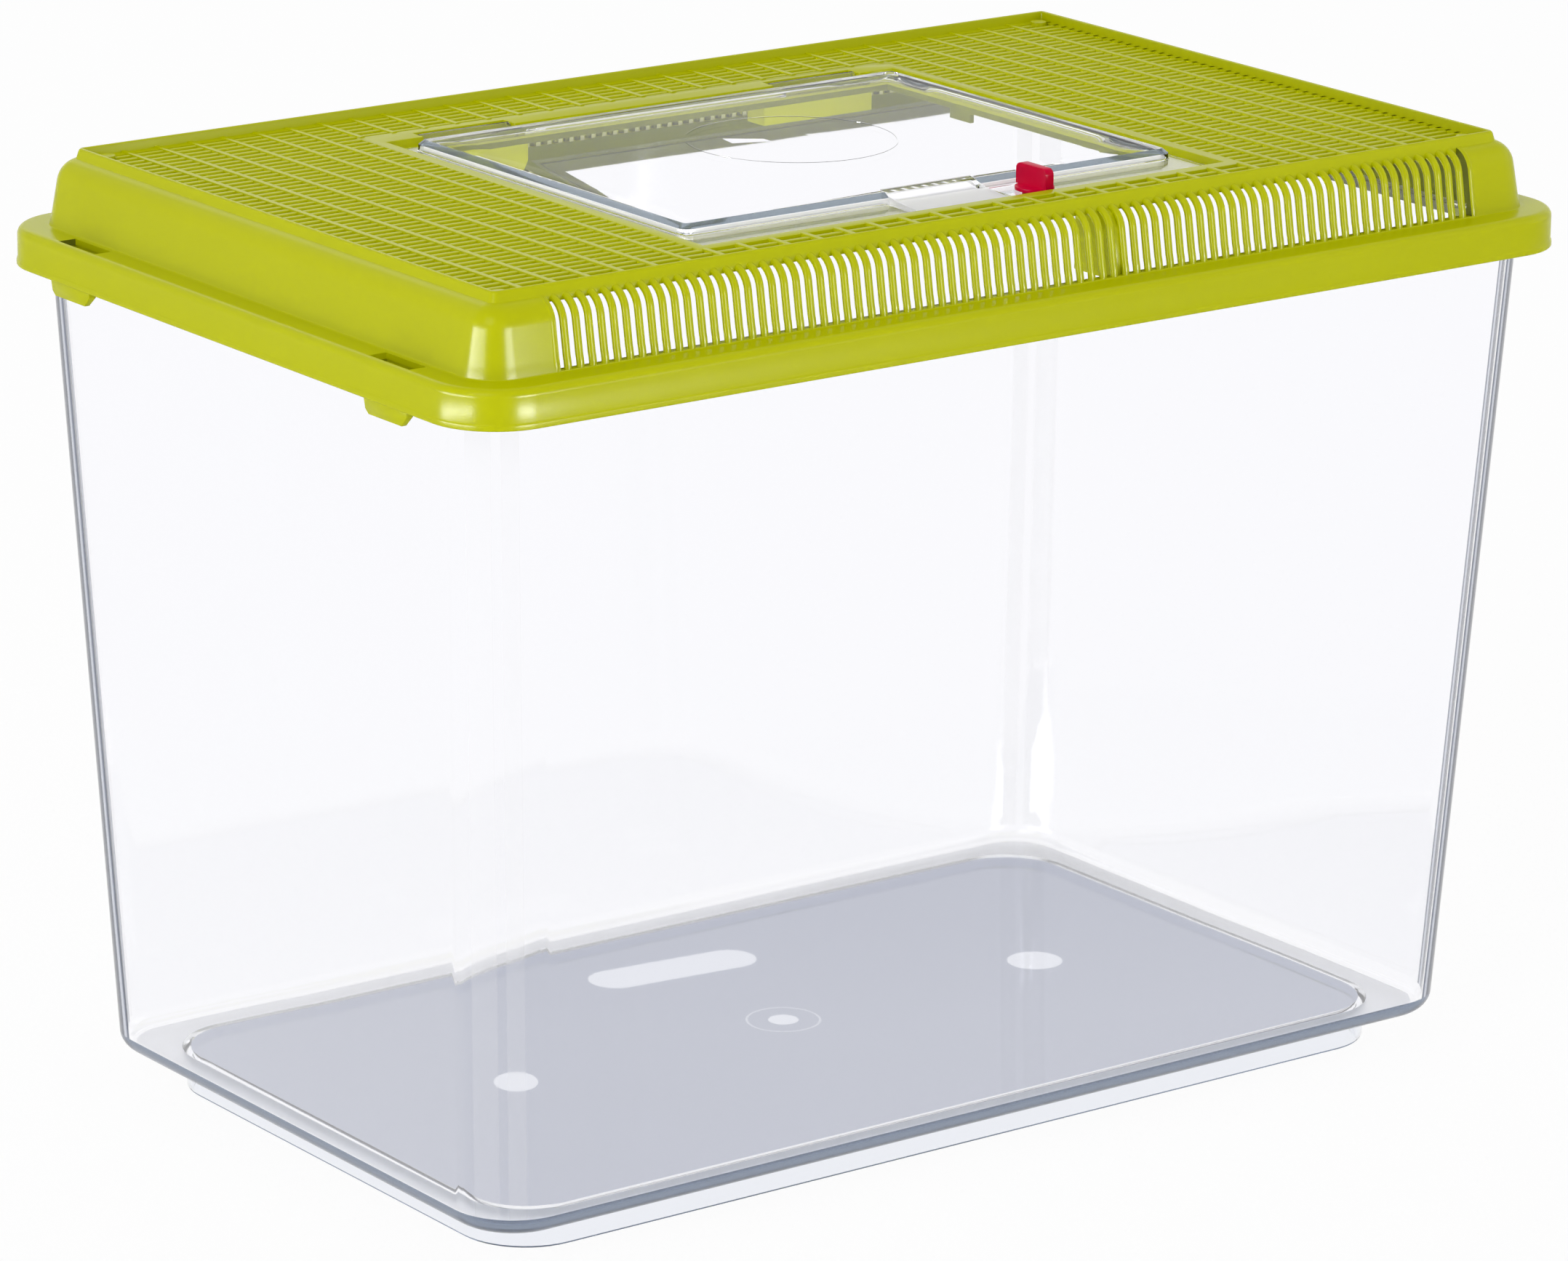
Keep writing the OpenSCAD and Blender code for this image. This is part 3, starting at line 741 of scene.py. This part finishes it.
def put_out(tree, gin, copies):
    """Turns the copies, makes them real, gives them the material and puts them out."""
    n, link = tree.nodes, tree.links.new
    turn, real, mat = (n.new("GeometryNode" + kind) for kind in ("Transform", "RealizeInstances", "SetMaterial"))
    spin, out = n.new("ShaderNodeCombineXYZ"), n.new("NodeGroupOutput")
    link(copies, turn.inputs["Geometry"])
    link(gin.outputs["Turn"], spin.inputs["Z"])
    link(spin.outputs[0], turn.inputs["Rotation"])
    link(turn.outputs["Geometry"], real.inputs["Geometry"])
    link(real.outputs["Geometry"], mat.inputs["Geometry"])
    link(gin.outputs["Material"], mat.inputs["Material"])
    link(mat.outputs["Geometry"], out.inputs["Geometry"])
    return tree


def row_tree():
    """Copies one object along X about the middle, with count and spacing as named inputs."""
    tree, n, link = gn_tree("Row of copies", (
        ("Copy", "Object", None),
        ("Count", "Int", 10),
        ("Spacing", "Float", 0.004)))
    maths = maths_in(tree)
    gin = n.new("NodeGroupInput")
    info = n.new("GeometryNodeObjectInfo")
    line = n.new("GeometryNodeMeshLine")
    inst = n.new("GeometryNodeInstanceOnPoints")
    step, start = (n.new("ShaderNodeCombineXYZ") for _ in range(2))
    spacing = gin.outputs["Spacing"]
    half = maths("MULTIPLY_ADD", gin.outputs["Count"], maths("MULTIPLY", spacing, -0.5),
                 maths("MULTIPLY", spacing, 0.5))
    link(gin.outputs["Copy"], info.inputs["Object"])
    link(gin.outputs["Count"], line.inputs["Count"])
    link(spacing, step.inputs["X"])
    link(step.outputs[0], line.inputs["Offset"])
    link(half, start.inputs["X"])
    link(start.outputs[0], line.inputs["Start Location"])
    link(line.outputs["Mesh"], inst.inputs["Points"])
    link(info.outputs["Geometry"], inst.inputs["Instance"])
    return put_out(tree, gin, inst.outputs["Instances"])


def bar_tree():
    """Parallel rounded bars: lengths along X, spaced along Y, as named inputs."""
    tree, n, link = gn_tree("Parallel bars", (
        ("Start", "Vector", (0, 0, 0)),
        ("Length", "Float", 0.1),
        ("Count", "Int", 10),
        ("Spacing", "Float", 0.004),
        ("Width", "Float", 0.002),
        ("Height", "Float", 0.002),
        ("Rounding", "Float", 0.0004)))
    gin = n.new("NodeGroupInput")
    quad = n.new("GeometryNodeCurvePrimitiveQuadrilateral")
    fillet = n.new("GeometryNodeFilletCurve")
    line = n.new("GeometryNodeCurvePrimitiveLine")
    sweep = n.new("GeometryNodeCurveToMesh")
    sweep.inputs["Fill Caps"].default_value = True
    if "Mode" in fillet.inputs:
        fillet.inputs["Mode"].default_value = "Poly"
    else:
        fillet.mode = "POLY"
    fillet.inputs["Count"].default_value = 2
    row = n.new("GeometryNodeMeshLine")
    inst = n.new("GeometryNodeInstanceOnPoints")
    step, end = (n.new("ShaderNodeCombineXYZ") for _ in range(2))
    for label, node, into in (("Width", quad, "Width"), ("Height", quad, "Height"), ("Rounding", fillet, "Radius"),
                              ("Length", end, "X"), ("Count", row, "Count"), ("Start", row, "Start Location"),
                              ("Spacing", step, "Y")):
        link(gin.outputs[label], node.inputs[into])
    link(quad.outputs["Curve"], fillet.inputs["Curve"])
    link(end.outputs[0], line.inputs["End"])
    link(line.outputs["Curve"], sweep.inputs["Curve"])
    link(fillet.outputs["Curve"], sweep.inputs["Profile Curve"])
    link(step.outputs[0], row.inputs["Offset"])
    link(row.outputs["Mesh"], inst.inputs["Points"])
    link(sweep.outputs["Mesh"], inst.inputs["Instance"])
    return put_out(tree, gin, inst.outputs["Instances"])


def from_tree(name, tree, angle=30, **values):
    """A plain mesh object from a Geometry Nodes tree with these inputs."""
    obj = add_object(name, bpy.data.meshes.new(name))
    mod = obj.modifiers.new("nodes", "NODES")
    mod.node_group = tree
    ids = {s.name: s.identifier for s in tree.interface.items_tree if s.in_out == "INPUT"}
    for key, value in values.items():
        mod[ids[key]] = value
    bpy.context.view_layer.update()
    apply_modifiers(obj, angle)
    return obj


def join(name, objs):
    """Joins mesh objects into one, at the origin."""
    mats = list(dict.fromkeys(m for o in objs for m in o.data.materials if m))
    bm = bmesh.new()
    for o in objs:
        index = {i: mats.index(m) for i, m in enumerate(o.data.materials) if m}
        for poly in o.data.polygons:
            poly.material_index = index.get(poly.material_index, 0)
        bm.from_mesh(o.data)
        bpy.data.objects.remove(o)
    mesh = bpy.data.meshes.new(name)
    bm.to_mesh(mesh)
    bm.free()
    for m in mats:
        mesh.materials.append(m)
    return add_object(name, mesh)


def lime(name="moulded_lime", rough=0.24):
    """The lid's plastic, or the painted shade of its inner faces under another name."""
    colours = bpy.context.scene.keeper_colours
    color = colours.lid if name == "moulded_lime" else colours.inside
    return bpy.data.materials.get(name) or plastic(name, color, rough, bump=0.05, Specular_IOR_Level=0.1)


def paint_inner_shade(obj, across=True, reach=(LID_HALF_X, LID_HALF_Y)):
    """Paints shade on the faces within reach that look in at the middle of the lid: they get the lid's colour
    darkened, as in the shadow inside the lid.
    """
    obj.data.materials.append(lime("shaded_lime", 0.3))
    last = len(obj.data.materials) - 1
    for poly in obj.data.polygons:
        (x, y, z), n = poly.center, poly.normal
        inward = (n.y * y < 0 and abs(n.y) > 0.5) or (across and n.x * x < 0 and abs(n.x) > 0.5)
        near = abs(x) < reach[0] * MM and abs(y) < reach[1] * MM and z < (Z_DOME - 0.2) * MM
        if inward and near:
            poly.material_index = last


class KEEPER_OT_lid(bpy.types.Operator):
    """Builds the lid's rim, dome and lip with the window for the vent slats"""
    bl_idname = "keeper.lid"
    bl_label = "Build Lid"

    def execute(self, context):
        rim = build_lid_shell(context.scene.keeper_sizes, lime())
        # Painted shade on the rim's inward faces.
        paint_inner_shade(rim)
        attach(rim, "lid")
        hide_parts("lid")
        return {"FINISHED"}


class KEEPER_OT_vents(bpy.types.Operator):
    """Builds the upright vent slats in the front and the back of the dome"""
    bl_idname = "keeper.vents"
    bl_label = "Build Vent Slats"

    def execute(self, context):
        sizes = context.scene.keeper_sizes
        width = (sizes.vent_pitch - sizes.vent_width) / MM
        one = make_object("one_slat", *vent_slat_mesh(width), 60)
        tree = row_tree()
        rows = [from_tree("vent_row", tree, 60, Copy=one, Count=sizes.vent_count + 1,
                          Spacing=sizes.vent_pitch, Turn=turn, Material=lime()) for turn in (0.0, math.pi)]
        bpy.data.objects.remove(one)
        slats = join("vent_slats", rows)
        shade(slats, 60)
        # Painted shade on the slats' inward faces.
        paint_inner_shade(slats, across=False)
        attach(slats, "lid")
        return {"FINISHED"}


class KEEPER_OT_grille(bpy.types.Operator):
    """Builds the slats and ribs of the flat grille around the hatch"""
    bl_idname = "keeper.grille"
    bl_label = "Build Grille"

    def execute(self, context):
        sizes = context.scene.keeper_sizes
        gx, gy = LID_HALF_X - LIP_IN, LID_HALF_Y - LIP_IN
        pitch, width = sizes.slat_pitch / MM, sizes.slat_width / MM
        step, rib = sizes.rib_pitch / MM, sizes.rib_width / MM
        top = Z_DOME - 0.1
        slats, ribs = (width, GRILLE_T, top - GRILLE_T / 2), (rib, RIB_T, top + 0.4 - RIB_T / 2)
        quarter = math.pi / 2
        over = 0.6
        tree = bar_tree()
        parts = []

        def bars(x0, x1, lines, step, size, turn=0.0):
            w, h, z = size
            if lines:
                parts.append(from_tree("bars", tree, Start=(x0 * MM, lines[0] * MM, z * MM), Length=(x1 - x0) * MM,
                                       Count=len(lines), Spacing=step * MM, Width=w * MM, Height=h * MM,
                                       Rounding=0.45 * MM, Turn=turn, Material=lime()))

        def edge(x, y):
            parts.append(make_object("edge", *block(*sorted(x), *sorted(y), top - GRILLE_T, top), mats=(lime(),)))

        rows = int((gy - 2.35) / pitch - 0.5) + 1
        lines = [k * pitch for k in range(-rows + 1, rows)]
        front = [y for y in lines if y < FRAME_Y0 - 0.4 * width]
        back = [y for y in lines if y > FRAME_Y1 + 0.4 * width]
        beside = [y for y in lines if y not in front and y not in back]
        for group in (front, back):
            bars(-gx - over, gx + over, group, pitch, slats)
        bars(-gx - over, -FRAME_X + over, beside, pitch, slats)
        bars(FRAME_X - over, gx + over, beside, pitch, slats)
        half = int((gx - 4) / step - 0.5) + 1
        xs = [(k + 0.5) * step for k in range(-half, half)]
        left = [x for x in xs if x < -FRAME_X - 0.3 * rib]
        right = [x for x in xs if x > FRAME_X + 0.3 * rib]
        middle = [x for x in xs if x not in left and x not in right]
        for y0, y1, group in ((-gy - over, gy + over, left), (-gy - over, gy + over, right),
                              (-gy - over, FRAME_Y0 + over, middle), (FRAME_Y1 - over, gy + over, middle)):
            bars(y0, y1, [-x for x in reversed(group)], step, ribs, quarter)
        for s in (-1, 1):
            edge((s * (gx - 2), s * (gx + over)), (-gy - over, gy + over))
        last = (rows - 0.5) * pitch
        for s in (-1, 1):
            edge((-gx - over, gx + over), (s * (last - 0.95), s * (gy + over)))
        for sx in (-1, 1):
            for sy in (-1, 1):
                boss = rod_z(sx * (gx - 5.2), sy * (gy - 5.0), 2.6, Z_DOME - 2.0, Z_DOME + 0.9, 24)
                parts.append(make_object("boss", *boss, mats=(lime(),)))
        grille = join("grille", parts)
        shade(grille, 40)
        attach(grille, "lid")
        return {"FINISHED"}


class KEEPER_OT_frame(bpy.types.Operator):
    """Builds the recess, ledge, hinge pockets and stop rib around the hatch"""
    bl_idname = "keeper.hatch_frame"
    bl_label = "Build Hatch Frame"

    def execute(self, context):
        base = LEDGE_Z - LEDGE_T
        adds = [block(-FRAME_X, FRAME_X, FRAME_Y0, FRAME_Y1, Z_DOME - 2.4, Z_DOME)]
        adds.append(block(-RECESS_X - 2, RECESS_X + 2, RECESS_Y0 - 2, RECESS_Y1 + 2, base, Z_DOME - 0.6))
        for x in (-KNUCKLE_X, KNUCKLE_X):
            adds.append(block(x - POCKET - 4.5, x + POCKET + 4.5, RECESS_Y1 - 1, POCKET_Y + 2,
                              LEDGE_Z - 10, Z_DOME - 0.5))
        front = -LID_HALF_Y
        adds.append(prism_x(LATCH_X, LATCH_X + STOP_T, [
            (front + KNEE_D + 1, Z_SEAT + 2.6), (front + 31.4, Z_SEAT + 2.6), (front + 31.4, Z_DOME - 1.2),
            (front + LIP_OUT + 0.8, Z_DOME - 1.2), (front + LIP_OUT - 1.8, Z_DOME - 2.3),
            (front + WALL_D + 1, WALL_Z), (front + KNEE_D + 1, KNEE_Z)]))
        for s in (-1, 1):
            tongue = sorted((s * (RECESS_X - LEDGE_W), s * (RECESS_X - LEDGE_W + 1.6)))
            adds.append(block(*tongue, 23.7, 34.3, LEDGE_Z - 5, LEDGE_Z - 1))
        deep = LEDGE_Z - 20
        cuts = [block(-RECESS_X, RECESS_X, RECESS_Y0, RECESS_Y1, LEDGE_Z, Z_DOME + 5)]
        cuts.append(block(-RECESS_X + LEDGE_W, RECESS_X - LEDGE_W, RECESS_Y0 + 21.8, RECESS_Y1 - LEDGE_W,
                          deep, Z_DOME))
        cuts.append(block(LATCH_X - 9, LATCH_X + 9, RECESS_Y0, RECESS_Y0 + 23, deep, Z_DOME - 2))
        for x in (-KNUCKLE_X, KNUCKLE_X):
            cuts.append(block(x - POCKET, x + POCKET, RECESS_Y1 - 0.5, POCKET_Y, POCKET_Z, Z_DOME + 5))
            cuts.append(rod_x(x - POCKET - 2.4, x + POCKET + 2.4, HINGE_Y, HINGE_Z, PIN_R + 0.05))
        surround = carve("hatch_surround", adds, cuts, 0.3, (lime(),))
        # Painted shade on the surround's inward faces under the hatch.
        paint_inner_shade(surround, reach=(BEAD_X, BEAD_Y1 + 1))
        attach(surround, "lid")
        return {"FINISHED"}


class KEEPER_OT_clips(bpy.types.Operator):
    """Builds the four snap clips that hang from the lid's skirt"""
    bl_idname = "keeper.clips"
    bl_label = "Build Snap Clips"

    def execute(self, context):
        x, z0, h = LID_HALF_X - 0.35, Z_SKIRT - CLIP_DROP, CLIP_HALF
        tab = ((-h, Z_SKIRT + 0.5), (-h, z0 + 3), (-h + 2.6, z0), (h - 2.6, z0), (h - 0.9, z0 + 1.4),
               (h, Z_SKIRT + 0.5))
        hook = ((0.5, z0 + 1), (SKIRT + 0.6, z0 + 0.3), (4.5, z0 + 2.2), (4.5, z0 + 4),
                (SKIRT - 0.1, Z_SKIRT + 2.6), (0.5, Z_SKIRT + 1))
        parts = []
        for q in (-1, 1):
            for yc in (-CLIP_Y, CLIP_Y):
                side = sorted((q * x, q * (x - SKIRT)))
                parts.append(make_object("tab", *prism_x(*side, [(yc - q * a, z) for a, z in tab]), mats=(lime(),)))
                parts.append(make_object("hook", *prism_y(yc - h + 3, yc + h - 3, [(q * (x - a), z) for a, z in hook]),
                                         mats=(lime(),)))
        clips = join("snap_clips", parts)
        bevelled(clips, 0.25)
        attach(clips, "lid")
        return {"FINISHED"}


# ---------------- hatch and latch
def plate_ring(inset, z):
    """Ring of the hatch's raised plate, this far inside the bead."""
    return rounded_ring(BEAD_X - inset, (BEAD_Y1 - BEAD_Y0) / 2 - inset, max(3.5 - inset, 0.8), z, 5,
                        (BEAD_Y0 + BEAD_Y1) / 2, 10)


def crown_height(x, y):
    """Height of the crown over its edge."""
    u = x / BEAD_X
    v = (y - (BEAD_Y0 + BEAD_Y1) / 2) / ((BEAD_Y1 - BEAD_Y0) / 2)
    return CROWN * (1 - u * u) * (1 - v * v)


def crown_rings(inset, z, shares):
    """Rings that shrink by shares to the middle of the plate and follow its crown."""
    cy = (BEAD_Y0 + BEAD_Y1) / 2
    rings = [[(x * t, cy + (y - cy) * t) for x, y, _ in plate_ring(inset, z)] for t in shares]
    return [[(x, y, z + crown_height(x, y)) for x, y in ring] for ring in rings]


def hatch_body():
    """The hatch's flange, bead and crowned plate as one thin closed shell."""
    def flange(inset, z):
        return rounded_ring(HATCH_X - inset, (HATCH_Y1 - HATCH_Y0) / 2 - inset, 1.6 - inset, z, 5,
                            (HATCH_Y0 + HATCH_Y1) / 2, 10)

    shares = (1, 0.9, 0.78, 0.64, 0.5, 0.36, 0.22, 0.08)
    w = HATCH_WALL
    rings = crown_rings(2.5 + w, PLATE_Z - w, reversed(shares))
    rings += [plate_ring(inset, z) for inset, z in (
        (2.4 + w, PLATE_Z - w), (0.6 + w, BEAD_Z - 0.9 * w), (w, BEAD_Z - 1.2 * w), (w, HATCH_Z))]
    rings += [flange(inset, z) for inset, z in (
        (0.12, HATCH_Z), (0, HATCH_Z + 0.12), (0, FLANGE_Z - 0.15), (0.15, FLANGE_Z))]
    rings += [plate_ring(inset, z) for inset, z in (
        (-0.25, FLANGE_Z), (-0.05, FLANGE_Z + 0.12), (0.02, FLANGE_Z + 0.35), (0.08, BEAD_Z - 0.3),
        (0.14, BEAD_Z - 0.12), (0.3, BEAD_Z), (1.9, PLATE_Z - 0.1), (2.05, PLATE_Z - 0.02), (2.3, PLATE_Z))]
    rings += crown_rings(2.5, PLATE_Z, shares)
    return stacked(rings)


def round_ridge(r0, r1, rise, n=96):
    """Low round ridge that follows the crown of the hatch."""
    profile = ((r0, -0.4), (r1, -0.4), (r1 - 0.1, rise), (r0 + 0.1, rise))
    v = [(x, y, PLATE_Z + crown_height(x, y) + up) for r, up in profile for x, y in circle(0, 0, r, n)]
    return v, [(k * n + i, k * n + (i + 1) % n, (k + 1) % 4 * n + (i + 1) % n, (k + 1) % 4 * n + i)
               for k in range(4) for i in range(n)]


def hatch_face(poly):
    """Material of a face of the hatch: edge 0, bevel 1 with its painted dark line, flat plate 2, bead side and tab 3.
    """
    (x, y, z), up = (c / MM for c in poly.center), poly.normal.z
    if abs(up) > 0.97 and z > PLATE_Z - HATCH_WALL - 0.1:
        return 2
    outside = max(abs(x) - BEAD_X, y - BEAD_Y1, BEAD_Y0 - y) > -0.12
    upright = abs(up) < 0.2 and outside and FLANGE_Z + 0.3 < z < BEAD_Z - 0.1
    tab = abs(x) < TAB_HALF + 0.1 and y < BEAD_Y0 + 4.8 and z > FLANGE_Z - 1.2
    if upright or tab:
        return 3
    return int(0.25 < up < 0.97 and BEAD_Z - 0.1 < z < PLATE_Z - 0.04)


class KEEPER_OT_hatch(bpy.types.Operator):
    """Builds the clear crowned hatch with its flange, finger tab and knuckles"""
    bl_idname = "keeper.hatch"
    bl_label = "Build Hatch"

    def execute(self, context):
        colours = context.scene.keeper_colours
        wide, deep = TAB_HALF, HATCH_WALL
        low, knee, high = ((BEAD_Y0 - 13.8, FLANGE_Z + 0.5), (BEAD_Y0 - 3.5, FLANGE_Z + 1.5),
                           (BEAD_Y0 + 4.5, PLATE_Z + 0.1))
        adds = [hatch_body()]
        adds.append(prism_x(-wide, wide, [(low[0], FLANGE_Z - 0.4)] + [(y, z + 0.3) for y, z in (low, knee, high)]
                            + [(high[0], FLANGE_Z - 0.4)]))
        half = KNUCKLE_L / 2
        for x in (-KNUCKLE_X, KNUCKLE_X):
            adds.append(block(x - half, x + half, HATCH_Y1 - 1, HINGE_Y, HATCH_Z, FLANGE_Z))
            adds.append(rod_x(x - half, x + half, HINGE_Y, HINGE_Z, 2.2, 32))
            adds.append(rod_x(x - POCKET - 2, x + POCKET + 2, HINGE_Y, HINGE_Z, PIN_R))
        adds.append(round_ridge(32.2, 32.9, 0.1))
        cuts = [prism_x(-wide - 0.02, wide + 0.02, [
            low, knee, high, (high[0], PLATE_Z + 5), (low[0] - 3, PLATE_Z + 5), (low[0] - 3, FLANGE_Z + 0.5)])]
        cuts.append(prism_x(deep - wide, wide - deep, [
            (low[0] + deep, HATCH_Z - 1), (low[0] + deep, FLANGE_Z - 0.9), (knee[0], knee[1] - deep),
            (high[0] - 0.5, high[1] - deep - 0.2), (high[0] - 0.5, HATCH_Z - 1)]))
        cuts.append(rod_z(LATCH_X, LATCH_Y, SHAFT_R + 0.05, HATCH_Z - 1, FLANGE_Z + 1))
        # The bevel gets a painted dark line in place of its refraction.
        mats = (clear_plastic("hatch_edge", colours.clear, 0.03),
                clear_plastic("hatch_bevel", colours.bevel, 0.08, IOR=1.5, Transmission_Weight=0.6),
                clear_plastic("hatch_plate", colours.clear, 0.02, 0.004, IOR=1.06,
                              Specular_Tint=(0.2, 0.2, 0.22, 1)),
                clear_plastic("hatch_side", colours.clear, 0.12, 0.004, IOR=1.5, Transmission_Weight=0.4))
        hatch = carve("hatch_plate", adds, cuts, 0, mats, False)
        shade(hatch, 25)
        for poly in hatch.data.polygons:
            poly.material_index = hatch_face(poly)
        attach(hatch, "hatch")
        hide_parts("hatch")
        return {"FINISHED"}


class KEEPER_OT_latch(bpy.types.Operator):
    """Builds the thumb-turn latch with its base, fin, shaft and cam"""
    bl_idname = "keeper.latch"
    bl_label = "Build Latch"

    def execute(self, context):
        z, lower = FLANGE_Z + 0.2, HATCH_Z - 0.2
        red = plastic("moulded_red", context.scene.keeper_colours.latch, 0.25, tone=0.08, grain=0.8, bump=0.04,
                      Specular_IOR_Level=0.04)
        fin = [(LATCH_Y - 7.2, z + 0.8), (LATCH_Y - 7.2, z + 5.3)]
        fin += arc(LATCH_Y - 5.2, z + 5.3, 2, 165, 90, 5) + arc(LATCH_Y + 5.2, z + 5.3, 2, 90, 0, 6)
        fin += [(LATCH_Y + 7.2, z + 0.8)]
        adds = [rod_z(LATCH_X, LATCH_Y, 6.0, z, z + 1.0), prism_x(LATCH_X - 1.5, LATCH_X + 1.5, fin)]
        adds.append(rod_z(LATCH_X, LATCH_Y, SHAFT_R, lower - 1, z + 0.5))
        adds.append(rod_z(LATCH_X, LATCH_Y, 3.7, lower - 2, lower))
        adds.append(block(LATCH_X - 2.5, LATCH_X + 2.5, LATCH_Y - 6.8, LATCH_Y, lower - 2, lower))
        latch = carve("latch_knob", adds, [], 0.35, (red,))
        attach(latch, "latch")
        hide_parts("latch")
        return {"FINISHED"}


# ---------------- stage
def seen_rays(tree):
    """1 for camera, glossy and transmission rays, else 0."""
    maths, path = maths_in(tree), tree.nodes.new("ShaderNodeLightPath")
    value = path.outputs["Is Camera Ray"]
    for other in ("Is Glossy Ray", "Is Transmission Ray"):
        value = maths("MAXIMUM", value, path.outputs[other])
    return value


class KEEPER_OT_stage(bpy.types.Operator):
    """Sets the floor, the soft lamps, the room light and the camera"""
    bl_idname = "keeper.stage"
    bl_label = "Set Stage"

    def execute(self, context):
        scene = context.scene
        stage = scene.keeper_stage
        scene.view_settings.view_transform = "Standard"
        far = 6000
        corners = [(-far, -far, -0.2), (far, -far, -0.2), (far, far, -0.2), (-far, far, -0.2)]
        floor = make_object("floor", corners, [(0, 1, 2, 3)])
        m = bpy.data.materials.new("pale_floor")
        m.use_nodes = True
        tree = m.node_tree
        n, link = tree.nodes, tree.links.new
        p = n["Principled BSDF"]
        p.inputs["Base Color"].default_value = (0.86, 0.86, 0.88, 1)
        p.inputs["Roughness"].default_value = 0.7
        glow = n.new("ShaderNodeEmission")
        glow.inputs["Color"].default_value = (1, 1, 1, 1)
        mix = n.new("ShaderNodeMixShader")
        link(maths_in(tree)("MULTIPLY", seen_rays(tree), 0.95), mix.inputs[0])
        link(p.outputs[0], mix.inputs[1])
        link(glow.outputs[0], mix.inputs[2])
        link(mix.outputs[0], n["Material Output"].inputs[0])
        floor.data.materials.append(m)

        world = bpy.data.worlds.new("room")
        scene.world = world
        world.use_nodes = True
        n, link = world.node_tree.nodes, world.node_tree.links.new
        back = n["Background"]
        back.inputs[0].default_value = (1, 1, 1, 1)
        level = n.new("ShaderNodeMapRange")
        level.inputs["To Min"].default_value = stage.room_light
        level.inputs["To Max"].default_value = 1.0
        link(seen_rays(world.node_tree), level.inputs["Value"])
        link(level.outputs[0], back.inputs[1])

        centre = Vector((0, 0, 0.15))
        key, fill, box = stage.key_power, stage.fill_power, stage.box_power
        lamps = (("key", (-1.8, -1.0, 1.8), 1.3, 1.3, key, True),
                 ("fill", (1.9, -0.9, 1.0), 1.4, 1.4, fill, True),
                 ("back", (0.6, 2.0, 1.6), 1.2, 1.2, fill * 0.8, True),
                 ("left box", (-2.5, 0.1, 0.37), 2.4, 0.4, box * 1.4, False),
                 ("front box", (0.43, -2.46, 0.37), 1.15, 0.4, box, False))
        for name, place, width, height, watts, everywhere in lamps:
            data = bpy.data.lights.new(name, "AREA")
            data.shape = "RECTANGLE"
            data.size = width
            data.size_y = height
            data.energy = watts
            lamp = add_object(name, data)
            lamp.location = place
            lamp.rotation_euler = (centre - Vector(place)).to_track_quat("-Z", "Y").to_euler()
            lamp.visible_diffuse = everywhere

        data = bpy.data.cameras.new("view")
        for key, value in (("sensor_width", 36.0), ("lens", 167.6), ("shift_x", 0.0786),
                           ("shift_y", 0.0025), ("clip_end", 50)):
            setattr(data, key, value)
        camera = add_object("view", data)
        camera.location = (-1.30796, -1.74998, 0.78104)
        camera.rotation_euler = tuple(math.radians(a) for a in (73.63, -0.35, -35.65))
        scene.camera = camera
        return {"FINISHED"}


class KEEPER_PT_panel(bpy.types.Panel):
    bl_label = "Pet Keeper"
    bl_idname = "KEEPER_PT_panel"
    bl_space_type = "VIEW_3D"
    bl_region_type = "UI"
    bl_category = "Keeper"

    def draw(self, context):
        for op in OPERATORS:
            self.layout.operator(op.bl_idname)
        for group in (context.scene.keeper_colours, context.scene.keeper_sizes, context.scene.keeper_stage):
            for key in group.__annotations__:
                self.layout.prop(group, key)


OPERATORS = (KEEPER_OT_tank, KEEPER_OT_lid, KEEPER_OT_vents, KEEPER_OT_grille, KEEPER_OT_frame,
             KEEPER_OT_clips, KEEPER_OT_hatch, KEEPER_OT_latch, KEEPER_OT_stage)
CLASSES = (KeeperColours, KeeperSizes, KeeperStage) + OPERATORS + (KEEPER_PT_panel,)


def register():
    for cls in CLASSES:
        bpy.utils.register_class(cls)
    bpy.types.Scene.keeper_colours = PointerProperty(type=KeeperColours)
    bpy.types.Scene.keeper_sizes = PointerProperty(type=KeeperSizes)
    bpy.types.Scene.keeper_stage = PointerProperty(type=KeeperStage)


def unregister():
    for key in ("keeper_colours", "keeper_sizes", "keeper_stage"):
        delattr(bpy.types.Scene, key)
    for cls in reversed(CLASSES):
        bpy.utils.unregister_class(cls)


def main():
    register()
    for op in OPERATORS:
        group, name = op.bl_idname.split(".")
        getattr(getattr(bpy.ops, group), name)()
    bpy.context.view_layer.update()


if __name__ == "__main__":
    main()
